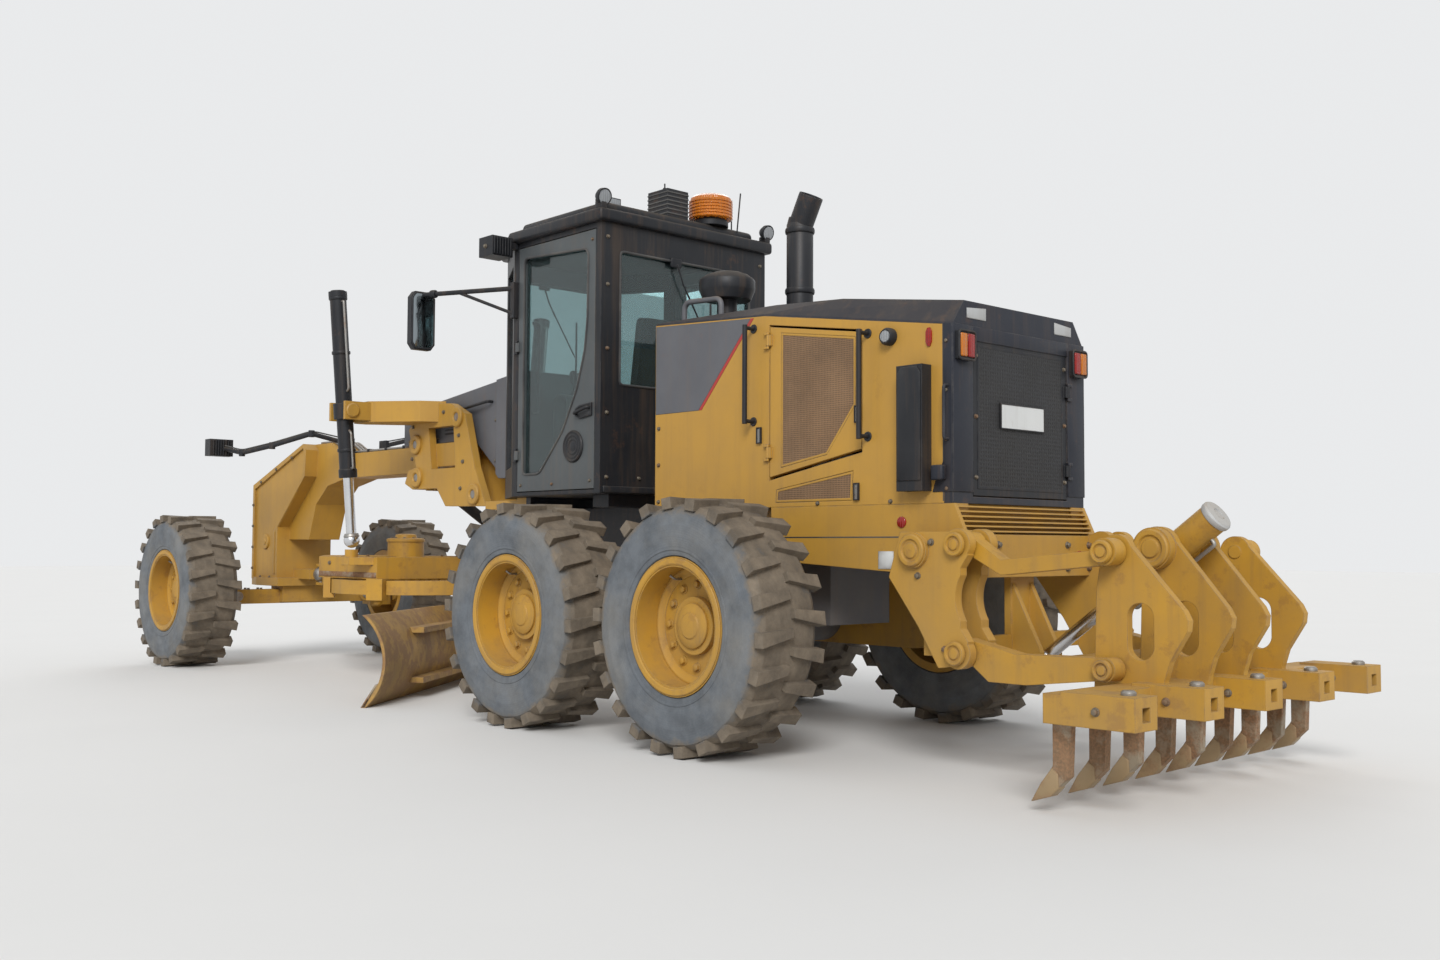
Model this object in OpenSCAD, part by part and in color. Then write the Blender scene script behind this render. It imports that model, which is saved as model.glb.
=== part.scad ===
// Motor grader: six wheels, hinged behind the cab, with a blade under an arched front frame
// and a ripper behind. X points forward, Y to the left, Z up. Every length is in millimetres.
// Places along the machine are measured from the middle between the four driving wheels.

/* [Wheels] */
// Radius of a tyre over its lugs
tyre_r = 665; // [640:1:700]
// Width of a tyre
tyre_w = 445; // [420:1:460]
// Height of the lugs
lug_h = 34; // [20:1:45]
// Lugs on each shoulder of a tyre
lug_count = 22; // [16:1:26]
// Radius of the seat that a tyre's bead sits on
bead_r = 320; // [300:1:330]
// Height of a rim's flange above the bead seat
flange_h = 38; // [20:1:50]
// How far a wheel's disc lies outside the middle of its tyre
disc_out = 40; // [0:1:60]
// Distance between the middles of the left and right tyres
track = 2140; // [2100:1:2200]
// Distance between the two driving wheels of one side
tandem_pitch = 1523; // [1450:1:1600]
// Distance from the middle of the driving wheels to the front axle
wheelbase = 6123; // [6050:1:6200]

/* [Rear frame] */
// Half the width of the rear frame and of the hood on it
hood_half = 567; // [540:1:580]
// Where the hood ends in front
hood_front = 240; // [200:1:260]
// Where the hood ends behind
hood_rear = -1990; // [-2010:1:-1960]
// Height of the hood's lower edge
hood_base = 1290; // [1250:1:1320]
// Height of the hood's shoulder in front
shoulder_front = 2405; // [2350:1:2450]
// Where the hood's shoulder bends down
knee_x = -700; // [-800:1:-600]
// Height of the hood's shoulder at that bend
shoulder_knee = 2352; // [2320:1:2380]
// Height of the hood's shoulder behind
shoulder_rear = 2155; // [2120:1:2190]
// Height of the top cap's crown in front
crown_front = 2440; // [2430:1:2500]
// Height of the top cap's crown where it bends down
crown_knee = 2425; // [2415:1:2430]
// Height of the top cap's crown behind
crown_rear = 2285; // [2250:1:2330]
// Thickness of the hood's walls and doors
hood_wall = 40; // [30:1:50]
// Height of the rear frame's underside
frame_low = 930; // [900:1:960]
// Radius of the rear axle's housing
axle_r = 190; // [180:1:200]

/* [Cab] */
// Half the width of the cab
cab_half = 710; // [690:1:720]
// Where the cab's rear wall stands
cab_rear = 600; // [590:1:640]
// Where the cab's side walls end and its slanted corners begin
cab_corner = 1550; // [1500:1:1600]
// Where the cab's front wall stands
cab_front = 2050; // [2000:1:2100]
// Half the width of the cab's front wall
cab_front_half = 430; // [380:1:480]
// Height of the cab's underside
cab_base = 1400; // [1380:1:1420]
// Height of the top of the cab's walls
cab_top = 3090; // [3050:1:3120]
// Thickness of the cab's posts and doors
cab_wall = 50; // [40:1:60]

/* [Hinge behind the cab] */
// Where the pin between the two frames stands
hitch_x = 430; // [410:1:450]
// Radius of that pin
hitch_pin_r = 45; // [35:1:55]

/* [Front frame] */
// Half the width of the arched beam
beam_half = 150; // [130:1:170]
// Height of the arched beam's top
beam_top = 1870; // [1840:1:1900]
// Height of the arched beam's underside
beam_low = 1660; // [1620:1:1690]
// Half the width of the nose
nose_half = 250; // [230:1:270]
// Where the nose ends in front
nose_front = 6600; // [6560:1:6620]
// Height of the underside of the shelf under the nose
shelf_z = 690; // [680:1:700]

/* [Front axle] */
// Height of the front axle's beam
axle_z = 600; // [590:1:610]
// How far the lean pins lie from the middle of the machine
lean_y = 640; // [630:1:645]
// How far the king pins lie from the middle of the machine
king_y = 800; // [795:1:810]
// Radius of the king pins
king_r = 28; // [22:1:32]

/* [Drawbar and circle] */
// Where the drawbar's ball sits under the nose
ball_x = 5700; // [5680:1:5720]
// Height of the drawbar's ball
ball_z = 800; // [790:1:810]
// Radius of the drawbar's ball
ball_r = 70; // [65:1:75]
// Radius of the pin through that ball
ball_pin_r = 30; // [24:1:34]
// Where the circle's middle is
circle_x = 3800; // [3780:1:3820]
// Outer radius of the circle
circle_r = 765; // [740:1:780]
// Height of the circle's underside
circle_z = 690; // [680:1:700]
// Height of the circle's ring
circle_h = 110; // [100:1:120]
// Width of the circle's ring
circle_w = 125; // [110:1:130]
// Height of the drawbar's frame
drawbar_h = 170; // [150:1:180]
// Angle at which the blade stands across the machine
blade_yaw = 40; // [30:1:50]

/* [Blade] */
// Length of the blade
blade_len = 3658; // [3500:1:3700]
// Height of the blade
blade_h = 610; // [580:1:620]
// Radius of the blade's curve
blade_arc = 413; // [400:1:440]
// Thickness of the blade
blade_t = 22; // [18:1:28]
// How far the blade's edge lies behind the circle's middle
blade_back = 330; // [310:1:350]
// How far the blade is shifted to the left
blade_shift = 300; // [270:1:330]

/* [Lifting gear] */
// Where the lift cylinders stand
lift_x = 3590; // [3570:1:3610]
// Height of the collars that carry the lift cylinders
collar_z = 2100; // [2080:1:2120]
// How far those collars lie from the middle of the machine
collar_y = 880; // [860:1:900]
// How far the lower eyes of the lift rods lie from the middle of the machine
lift_eye_y = 800; // [790:1:810]
// Height of the lower eyes of the lift rods
lift_eye_z = 1110; // [1100:1:1120]
// Outer radius of a lift cylinder
lift_r = 62; // [56:1:68]
// Radius of a lift cylinder's rod
lift_rod_r = 38; // [30:1:42]

/* [Ripper] */
// Where the ripper's links are pinned to the rear frame
rip_x = -2130; // [-2150:1:-2110]
// Height of the lower links' pins
rip_low_z = 585; // [575:1:595]
// Height of the upper links' pins
rip_up_z = 1090; // [1080:1:1100]
// How far back the links reach
rip_reach = 730; // [710:1:750]
// How far the links hang down at their rear ends
rip_drop = 30; // [20:1:40]
// Half the length of the ripper's beam
rip_half = 1150; // [1140:1:1180]
// Distance between the ripper's shank pockets
pocket_pitch = 534; // [520:1:540]
// Height of the ripper beam's underside
rip_beam_z = 375; // [365:1:380]
// How far the teeth's tips stand above the ground
tip_clear = 45; // [20:1:80]
// Radius of the ripper links' pins
rip_pin_r = 32; // [26:1:38]

/* [Fits] */
// Room round a pin in its bore, or a rod in its cylinder
pin_fit = 0.3; // [0.2:0.05:1]
// Room between a door and the opening that it closes
door_gap = 6; // [5:1:10]
// Room between pieces that move past each other
run_gap = 10; // [6:1:14]

/* [Hidden] */
$fn = 48;

// The whole machine is centred over its own footprint.
rip_block_rear = rip_x - rip_reach - 430;
mid_x = (wheelbase + tyre_r + rip_block_rear) / 2;

wheel_y = track / 2;
bead_half = tyre_w / 2 - 32;
flange_r = bead_r + flange_h;
carcass_r = tyre_r - lug_h;
lug_root = 30;
lug_reach = 74;
rim_wall = 14;
lip_t = 14;
disc_t = 24;
tyre_in = wheel_y - tyre_w / 2;
disc_back = disc_out - disc_t;

YELLOW = [0.80, 0.58, 0.16];
BLACK = [0.10, 0.10, 0.11];
RUBBER = [0.30, 0.30, 0.30];
STEEL = [0.60, 0.60, 0.60];
GREY = [0.35, 0.37, 0.40];
RUST = [0.50, 0.34, 0.20];

// Moves what is drawn on the machine's own axes to the part's origin.
module on_machine() {
    translate([-mid_x, 0, 0]) children();
}

// Repeats a left-hand piece on the right.
module both_sides() {
    children();
    mirror([0, 1, 0]) children();
}

// side = 1 keeps a piece on the left, side = -1 puts its mirror image on the right.
module on_side(side) {
    if (side > 0) children();
    else mirror([0, 1, 0]) children();
}

// Extrudes an outline drawn in X and Z between two Y planes.
module plate_xz(y0, y1) {
    translate([0, y1, 0]) rotate([90, 0, 0]) linear_extrude(y1 - y0) children();
}

// Extrudes an outline drawn in Y and Z between two X planes.
module plate_yz(x0, x1) {
    translate([x0, 0, 0]) rotate([90, 0, 90]) linear_extrude(x1 - x0) children();
}

// Extrudes an outline drawn in X and Y between two Z planes.
module plate_xy(z0, z1) {
    translate([0, 0, z0]) linear_extrude(z1 - z0) children();
}

// Round bars along each axis
module bar_x(x0, x1, y, z, r) {
    translate([x0, y, z]) rotate([0, 90, 0]) cylinder(r = r, h = x1 - x0);
}

module bar_y(x, y0, y1, z, r) {
    translate([x, y1, z]) rotate([90, 0, 0]) cylinder(r = r, h = y1 - y0);
}

module bar_z(x, y, z0, z1, r) {
    translate([x, y, z0]) cylinder(r = r, h = z1 - z0);
}

// A box between two corners
module block(low, high) {
    translate(low) cube([for (i = [0 : 2]) high[i] - low[i]]);
}

// A round bar from one point to another
module rod_between(a, b, r) {
    d = b - a;
    translate(a) rotate([0, acos(d[2] / norm(d)), atan2(d[1], d[0])]) cylinder(r = r, h = norm(d));
}

// Door hinges are drawn on the left of the machine, with the door behind the pin.
hinge_out = 12;
hinge_pin_r = 5;
knuckle_h = 60;
lug_t = 15;
lug_web = 28;

// The pin with its two lugs, on the piece that carries the door
module hinge_lugs(x, y, z) {
    bar_z(x, y, z - lug_t - 1, z + knuckle_h + lug_t + 1, hinge_pin_r);
    for (low = [z - lug_t - 1, z + knuckle_h + 1]) {
        bar_z(x, y, low, low + lug_t, 7);
        block([x, y - hinge_out - 6, low], [x + lug_web, y + 6, low + lug_t]);
    }
}

// The door's eye round that pin, and its bore
module hinge_eye(x, y, z) {
    bar_z(x, y, z, z + knuckle_h, 9);
    block([x - 26, y - hinge_out - 3, z], [x, y + 4, z + knuckle_h]);
}

module hinge_bore(x, y, z) {
    bar_z(x, y, z - 1, z + knuckle_h + 1, hinge_pin_r + pin_fit);
}

// Wheels

// Half of the tyre's section is given as radius and width; the other half mirrors it.
module tyre_section() {
    half = tyre_w / 2;
    // each row: radius, distance from the middle of the tyre
    side = [
        [bead_r + pin_fit, bead_half], [flange_r, bead_half], [flange_r + 8, half * 0.93],
        [flange_r + 110, half], [carcass_r - 110, half], [carcass_r - 34, half * 0.93],
        [carcass_r - 6, half * 0.74], [carcass_r, half * 0.3]
    ];
    polygon(concat(side, [for (i = [len(side) - 1 : -1 : 0]) [side[i][0], -side[i][1]]]));
}

// One lug's plan, from near the middle of the tread out over the shoulder
module lug_outline(side) {
    half = tyre_w / 2;
    polygon([[-16, side * 6], [30, side * 6], [lug_reach, side * half * 0.985], [2, side * half * 0.985]]);
}

module tyre() {
    rotate([90, 0, 0]) {
        rotate_extrude($fn = 96) tyre_section();
        for (k = [0 : lug_count - 1])
            for (s = [-1, 1])
                rotate([0, 0, 360 / lug_count * (k + (s > 0 ? 0.5 : 0))])
                    translate([carcass_r - lug_root, 0, 0])
                        rotate([0, 90, 0]) rotate([0, 0, 90])
                            linear_extrude(sqrt(tyre_r * tyre_r - lug_reach * lug_reach)
                                - carcass_r + lug_root) lug_outline(s);
    }
}

// The rim's section is given as radius and distance outboard of the middle of the tyre.
module rim_section() {
    inner = bead_r - rim_wall;
    lip = bead_half + lip_t;
    polygon([
        [0, disc_out - disc_t], [inner, disc_out - disc_t], [inner, -lip], [flange_r, -lip],
        [flange_r, -bead_half - pin_fit], [bead_r, -bead_half - pin_fit],
        [bead_r, bead_half + pin_fit], [flange_r, bead_half + pin_fit], [flange_r, lip], [inner, lip],
        [inner, disc_out], [150, disc_out], [150, disc_out + 34], [0, disc_out + 34]
    ]);
}

module rim(side) {
    rotate([side > 0 ? 90 : -90, 0, 0]) rotate([0, 180, 0]) rotate_extrude($fn = 96) rim_section();
}

module wheel_at(x, side) {
    on_machine() translate([x, side * wheel_y, tyre_r]) children();
}

// Rear frame

// Outline of a bracket plate that carries the ripper's links: boss, arched back and foot
module bracket_outline() {
    difference() {
        union() {
            polygon([
                [-1790, 1150], [rip_x - 30, 1150], [rip_x - 62, 1040], [rip_x - 20, 980], [rip_x - 20, 700],
                [rip_x - 62, 640], [rip_x - 30, 530], [rip_x + 110, 510], [-1900, 700], [-1720, 930]
            ]);
            translate([rip_x, rip_up_z]) circle(r = 74);
            translate([rip_x, rip_low_z]) circle(r = 74);
        }
        translate([rip_x - 190, 840]) circle(r = 200);
    }
}

slats = 6;
slat_pitch = 24;

// Side outline of the sloping louvre
module louvre_side() {
    polygon([
        [hood_rear + 50, 1130], [hood_rear - 70, 1130], [hood_rear - 70, 1150],
        [hood_rear - 5, hood_base - pin_fit], [hood_rear + 50, hood_base - pin_fit]
    ]);
}

module rear_frame() {
    rail_top = hood_base - pin_fit;
    on_machine() color(YELLOW) difference() {
        union() {
            both_sides() {
                plate_xz(hood_half - 120, hood_half)
                    polygon([[hood_rear, frame_low], [hood_rear, rail_top], [-750, rail_top],
                        [-750, 1000]]);
                block([-1200, 330, 1000], [hitch_x - 130, 460, rail_top]);
                block([-150, 330, tyre_r], [150, 460, 1010]);
                plate_xz(505, 562) bracket_outline();
                plate_xz(674, 724) bracket_outline();
                bar_y(-1880, 500, 745, 1060, 85);
                block([hood_rear, 560, 560], [-1900, 680, 1100]);
                bar_y(rip_x, 500, 740, rip_up_z, rip_pin_r);
                bar_y(rip_x, 500, 740, rip_low_z, rip_pin_r);
                // lugs for the ripper cylinder's eye
                plate_xz(62, 92) polygon([
                    [-1990, 900], [rip_x - 30, 560], [rip_x - 30, 480], [rip_x + 60, 450], [-1950, 600]
                ]);
            }
            block([hood_rear - 70, -hood_half, frame_low], [hood_rear + 40, hood_half, 1140]);
            // sloping louvre over the bumper, between two cheeks
            plate_xz(-hood_half, hood_half) polygon([
                [hood_rear + 60, 1130], [hood_rear - 30, 1130], [hood_rear + 20, rail_top],
                [hood_rear + 60, rail_top]
            ]);
            both_sides() plate_xz(hood_half - 25, hood_half) louvre_side();
            for (i = [0 : slats - 1]) intersection() {
                plate_xz(-hood_half + 1, hood_half - 1) louvre_side();
                block([hood_rear - 90, -hood_half, 1150 + i * slat_pitch],
                    [hood_rear + 60, hood_half, 1159 + i * slat_pitch]);
            }
            block([-1560, -460, 1000], [-1500, 460, 1150]);
            block([hitch_x - 200, -460, 1000], [hitch_x - 130, 460, rail_top]);
            for (z = [1000, 1170]) {
                block([hitch_x - 140, -110, z], [hitch_x, 110, z + 60]);
                bar_z(hitch_x, 0, z, z + 60, 110);
            }
            block([hood_rear, -570, 560], [-1950, 570, 640]);
            block([hood_rear, -100, 600], [-1950, 100, frame_low + 10]);
        }
        bar_z(hitch_x, 0, 990, 1300, hitch_pin_r + pin_fit);
        bar_y(0, -640, 640, tyre_r, axle_r + pin_fit);
    }
}

module driveline() {
    on_machine() color(GREY) {
        block([-1480, -320, 1160], [-380, 320, 2060]);
        block([-1420, -330 + pin_fit, 1160], [-1300, 330 - pin_fit, 1240]);
        block([-900, -250, 640], [230, 250, 1170]);
        bar_y(0, -640, 640, tyre_r, axle_r);
        translate([0, 0, tyre_r]) sphere(r = 290);
    }
}

module tandem_cases() {
    on_machine() color(YELLOW) both_sides() {
        for (x = [-tandem_pitch / 2, tandem_pitch / 2])
            bar_y(x, 780, wheel_y + disc_back - pin_fit, tyre_r, 150);
        plate_xz(640 + pin_fit, 800) {
            square_half = 200;
            translate([-tandem_pitch / 2, tyre_r - square_half]) square([tandem_pitch, 2 * square_half]);
            for (x = [-tandem_pitch / 2, tandem_pitch / 2]) translate([x, tyre_r]) circle(r = square_half);
        }
    }
}

// Height of the hood's shoulder at a place along it
function shoulder_at(x) = x > knee_x
    ? shoulder_knee + (shoulder_front - shoulder_knee) * (x - knee_x) / (hood_front - knee_x)
    : shoulder_rear + (shoulder_knee - shoulder_rear) * (x - hood_rear) / (knee_x - hood_rear);

// Height of the top cap's crown at a place along its level front part
function crown_at(x) = crown_knee + (crown_front - crown_knee) * (x - knee_x) / (hood_front - knee_x);

door_x0 = -1405;
door_x1 = -740;
// Outline of the engine door, with its slanted lower edge
module engine_door_outline(grow) {
    offset_x = grow;
    polygon([
        [door_x0 - offset_x, 1580 - 3 * grow], [door_x1 + offset_x, 1455 - 3 * grow],
        [door_x1 + offset_x, shoulder_at(door_x1) - 60 + 2 * grow],
        [door_x0 - offset_x, shoulder_at(door_x0) - 60 + 2 * grow]
    ]);
}

door_hinge = [door_x1 + door_gap, hood_half + hinge_out];
door_hinge_z = [1560, 2180];
// Outlines of the perforated panels: in the door, and below it in the hood's wall
door_grille = [[-1365, 1810], [-1165, 1560], [-825, 1505], [-825, 2245], [-1365, 2165]];
low_grille = [[-1340, 1315], [-1350, 1470], [-790, 1385], [-785, 1315]];
grille_deep = 8;

// A panel's recess in a side wall, crossed by thin ribs
module grille_recess(outline) {
    plate_xz(hood_half - grille_deep, hood_half + 1) polygon(outline);
}

module grille_ribs(outline) {
    middle = [-1095, 1500];
    intersection() {
        plate_xz(hood_half - grille_deep - 1, hood_half - 3) polygon([
            for (p = outline) [p[0] + sign(p[0] - middle[0]), p[1] + sign(p[1] - middle[1])]
        ]);
        for (z = [1330 : 45 : 2240]) block([-1400, hood_half - 20, z], [-700, hood_half, z + 9]);
    }
}

screen_half = 405;
screen_low = 1330;
screen_top = 2110;
screen_hinge_z = [1450, 1870];

module hood() {
    on_machine() color(YELLOW) {
        difference() {
            plate_xz(-hood_half, hood_half) polygon([
                [hood_rear, hood_base], [hood_front, hood_base], [hood_front, shoulder_front],
                [knee_x, shoulder_knee], [hood_rear, shoulder_rear]
            ]);
            block([hood_rear + hood_wall, -hood_half + hood_wall, hood_base - 1],
                  [hood_front - hood_wall, hood_half - hood_wall, 2600]);
            both_sides() {
                plate_xz(hood_half - hood_wall - 1, hood_half + 1) engine_door_outline(door_gap);
                grille_recess(low_grille);
            }
            block([hood_rear - 1, -screen_half - door_gap, screen_low - door_gap],
                  [hood_rear + hood_wall + 1, screen_half + door_gap, screen_top + door_gap]);
        }
        both_sides() {
            grille_ribs(low_grille);
            for (z = door_hinge_z) hinge_lugs(door_hinge[0], door_hinge[1], z);
        }
        for (z = screen_hinge_z) on_screen_hinge() hinge_lugs(0, 0, z);
    }
}

// Turns a hinge that is drawn for a left side wall to the rear face, at the screen's right edge.
module on_screen_hinge() {
    translate([hood_rear - hinge_out, -screen_half - door_gap, 0]) mirror([1, 1, 0]) children();
}

module hood_cap() {
    inset = 90;
    slice = 1;
    module cap_slice(x, low, high)
        translate([x, 0, 0]) rotate([90, 0, 90]) linear_extrude(slice) polygon([
            [-hood_half, low], [hood_half, low], [hood_half - 5, low + 12],
            [hood_half - inset, high], [-hood_half + inset, high], [-hood_half + 5, low + 12]
        ]);
    on_machine() color(BLACK) {
        hull() {
            cap_slice(hood_rear, shoulder_rear + pin_fit, crown_rear);
            cap_slice(knee_x - 500, shoulder_at(knee_x - 500) + pin_fit, crown_knee - 30);
            cap_slice(knee_x, shoulder_knee + pin_fit, crown_knee);
        }
        hull() {
            cap_slice(knee_x, shoulder_knee + pin_fit, crown_knee);
            cap_slice(hood_front - slice, shoulder_front + pin_fit, crown_front);
        }
    }
}

module stacks() {
    pipe_x = -420;
    pipe_r = 80;
    cleaner = [-60, 260];
    on_machine() color(BLACK) {
        // exhaust: a straight pipe and its slanted tip
        difference() {
            union() {
                bar_z(pipe_x, 0, crown_at(pipe_x + pipe_r) + pin_fit, 3010, pipe_r);
                translate([pipe_x + 5, 0, 2980]) rotate([0, -28, 0]) cylinder(r = pipe_r - 6, h = 210);
            }
            translate([pipe_x + 5, 0, 3040]) rotate([0, -28, 0]) cylinder(r = pipe_r - 16, h = 200);
        }
        // air cleaner's round head
        bar_z(cleaner[0], cleaner[1], crown_at(cleaner[0] + 60) + pin_fit, 2600, 60);
        translate([cleaner[0], cleaner[1], 2560]) cylinder(r1 = 150, r2 = 170, h = 60);
        translate([cleaner[0], cleaner[1], 2620]) cylinder(r = 170, h = 60);
        translate([cleaner[0], cleaner[1], 2680]) cylinder(r1 = 170, r2 = 90, h = 50);
    }
}

module rear_lamps() {
    on_machine() color("orange") both_sides()
        block([hood_rear - 30, 430, 1990], [hood_rear - pin_fit, 555, 2125]);
}

module hood_rails() {
    // each row: place along the hood, lower end, upper end
    rails = [[-610, 1770, 2290], [-1450, 1640, 2170]];
    on_machine() color(BLACK) both_sides() {
        for (r = rails) {
            bar_z(r[0], hood_half + 70, r[1] - 16, r[2] + 16, 14);
            for (z = [r[1], r[2]]) bar_y(r[0], hood_half + pin_fit, hood_half + 70, z, 11);
        }
        block([-1860, hood_half + pin_fit, 1350], [-1700, hood_half + 75, 1970]);
    }
}

module engine_door(side) {
    on_machine() on_side(side) color(YELLOW) {
        difference() {
            union() {
                plate_xz(hood_half - hood_wall, hood_half) engine_door_outline(0);
                for (z = door_hinge_z) hinge_eye(door_hinge[0], door_hinge[1], z);
            }
            grille_recess(door_grille);
            for (z = door_hinge_z) hinge_bore(door_hinge[0], door_hinge[1], z);
        }
        grille_ribs(door_grille);
    }
}

module rear_screen() {
    bars = 16;
    on_machine() color(BLACK) {
        difference() {
            union() {
                block([hood_rear, -screen_half, screen_low],
                    [hood_rear + hood_wall, screen_half, screen_top]);
                for (z = screen_hinge_z) on_screen_hinge() hinge_eye(0, 0, z);
            }
            block([hood_rear - 1, -screen_half + 40, screen_low + 40],
                [hood_rear + 18, screen_half - 40, screen_top - 40]);
            for (z = screen_hinge_z) on_screen_hinge() hinge_bore(0, 0, z);
        }
        for (i = [1 : bars - 1]) {
            y = -screen_half + i * 2 * screen_half / bars;
            block([hood_rear + 2, y - 6, screen_low + 20], [hood_rear + 25, y + 6, screen_top - 20]);
        }
    }
}

// Front frame

// Lamp arms: each row is a point along the left arm, from the beam out to the lamp
lamp_arm = [[4875, 168, 1954], [4960, 480, 2030], [5250, 700, 1930], [5640, 800, 1880], [5900, 860, 1930]];

module front_frame() {
    socket_half = 45;
    on_machine() color(YELLOW) difference() {
        union() {
            // tail under the cab, with the eye for the hinge pin
            block([hitch_x, -110, 1070], [hitch_x + 260, 110, 1160]);
            bar_z(hitch_x, 0, 1070, 1160, 110);
            bar_z(hitch_x, 0, 985, 1250, hitch_pin_r);
            block([hitch_x + 200, -190, 1040], [2000, 190, 1330]);
            // arched beam, from under the cab to the top of the nose
            plate_xz(-beam_half, beam_half) polygon([
                [1900, 1330], [1900, 1040], [2250, 1040], [2950, beam_low], [4950, beam_low],
                [5300, 1600], [5520, 1440], [5600, 1250], [5650, 1120], [6060, 1120],
                [nose_front - 200, 1600],
                [5560, 1985], [5260, 1985], [5000, beam_top], [2750, beam_top], [2150, 1400], [2150, 1330]
            ]);
            // nose: two deep cheeks, bent at their rear edge, with a lip round them
            plate_xz(-nose_half, nose_half) nose_outline(0);
            both_sides() difference() {
                plate_xz(nose_half - 1, nose_half + 18) nose_outline(0);
                plate_xz(nose_half - 2, nose_half + 19) nose_outline(38);
            }
            plate_xy(shelf_z, shelf_z + 75) polygon([
                [5960, -300], [6420, -300], [nose_front + 30, -250], [nose_front + 30, 250], [6420, 300],
                [5960, 300]
            ]);
            // socket for the drawbar's ball
            block([ball_x + 22, -100, ball_z - socket_half], [6070, 100, ball_z + socket_half]);
            // cab mounts
            for (x = [cab_rear + 100, cab_corner]) block([x, -560, 1320],
                [x + 160, 560, cab_base - pin_fit]);
            both_sides() steps();
        }
        translate([ball_x, 0, ball_z]) sphere(r = ball_r + pin_fit);
    }
}

// Side outline of the nose, shrunk by an edge
module nose_outline(edge) {
    polygon([
        [6055 + edge, 750], [nose_front - edge, 750], [nose_front - edge, 1640 - edge], [5560, 1985 - edge],
        [5500 + edge, 1930 - edge], [5520 + edge, 1690 + edge / 4], [6055 + edge, 1240 + edge]
    ]);
}

// Steps to the left door, hung from the cab's front mount
module steps() {
    step_x0 = 1860;
    step_x1 = 2130;
    block([cab_corner + 150, 470, 1325], [step_x1, 540, 1385]);
    for (x = [step_x0, step_x1 - 12]) plate_yz(x, x + 12) polygon([[470, 1330], [540, 1330], [640, 645],
        [560, 645]]);
    // each row: height of a tread, its inner edge
    for (t = [[650, 545], [870, 520], [1090, 492]])
        block([step_x0 + 5, t[1], t[0]], [step_x1 - 5, t[1] + 110, t[0] + 25]);
}

module front_cover() {
    on_machine() color(GREY) {
        plate_xz(-290, 290) polygon([
            [cab_front + pin_fit, 1560], [2350, 1565], [2390, 1600], [2390, 2290],
            [cab_front + pin_fit, 2330]
        ]);
        plate_xz(-250, 250) polygon([
            [2380, 1590], [2740, beam_top + pin_fit], [3780, beam_top + pin_fit], [3780, 2130], [2380, 2290]
        ]);
    }
}

// Plan of the cab, shrunk by a wall
module cab_plan(inset) {
    corner_shift = inset * 0.75;
    polygon([
        [cab_rear + inset, -cab_half + inset], [cab_corner - corner_shift * 0.4, -cab_half + inset],
        [cab_front - inset, -cab_front_half + corner_shift],
        [cab_front - inset, cab_front_half - corner_shift],
        [cab_corner - corner_shift * 0.4, cab_half - inset], [cab_rear + inset, cab_half - inset]
    ]);
}

cab_floor = 60;
cab_sill = 1640;
cab_head = 2960;
cab_door_x0 = cab_rear + 60;
cab_door_x1 = cab_corner - 60;

// Outline of a cab door in X and Z
module cab_door_outline(grow) {
    translate([cab_door_x0 - grow, cab_base + 30 - grow])
        square([cab_door_x1 - cab_door_x0 + 2 * grow, cab_head + 60 - cab_base + 2 * grow]);
}

cab_hinge = [cab_door_x1 + door_gap, cab_half + hinge_out];
cab_hinge_z = [1640, 2360];

// The door's pane: tall in front, cut away below and behind in a curve
module cab_pane_outline() {
    polygon([
        [cab_door_x1 - 60, 1540], [cab_door_x1 - 250, 1540], [cab_door_x0 + 330, 1800],
        [cab_door_x0 + 180, 2060],
        [cab_door_x0 + 100, 2300], [cab_door_x0 + 75, 2500], [cab_door_x0 + 70, cab_head - 60],
        [cab_door_x0 + 95, cab_head - 20], [cab_door_x1 - 60, cab_head + 20]
    ]);
}

// Openings for the fixed panes: front, slanted corners and rear
module cab_windows(depth) {
    // front
    block([cab_front - depth, -cab_front_half + 60, 1600],
        [cab_front + depth - cab_wall, cab_front_half - 60, cab_head]);
    // slanted corners
    both_sides() corner_box(depth);
    // rear
    block([cab_rear + cab_wall - depth, -560, 2080], [cab_rear + depth, 560, cab_head - 40]);
}

corner_len = norm([cab_front - cab_corner, cab_half - cab_front_half]);
corner_turn = atan2(cab_front_half - cab_half, cab_front - cab_corner);

module corner_box(depth) {
    translate([cab_corner, cab_half, 0]) rotate([0, 0, corner_turn])
        translate([70, -cab_wall / 2 - depth, 1600]) cube([corner_len - 140, 2 * depth, cab_head - 1600]);
}

module cab_shell() {
    on_machine() color(BLACK) {
        difference() {
            plate_xy(cab_base, cab_top) cab_plan(0);
            plate_xy(cab_base + cab_floor, cab_top + 1) cab_plan(cab_wall);
            both_sides() plate_xz(cab_half - cab_wall - 1, cab_half + 1) cab_door_outline(door_gap);
            cab_windows(cab_wall * 1.5);
        }
        both_sides() for (z = cab_hinge_z) hinge_lugs(cab_hinge[0], cab_hinge[1], z);
    }
}

module cab_roof() {
    on_machine() color(BLACK) {
        plate_xy(cab_top + pin_fit, cab_top + 80) cab_plan(-40);
        plate_xy(cab_top + 79, cab_top + 150) cab_plan(60);
    }
}

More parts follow.
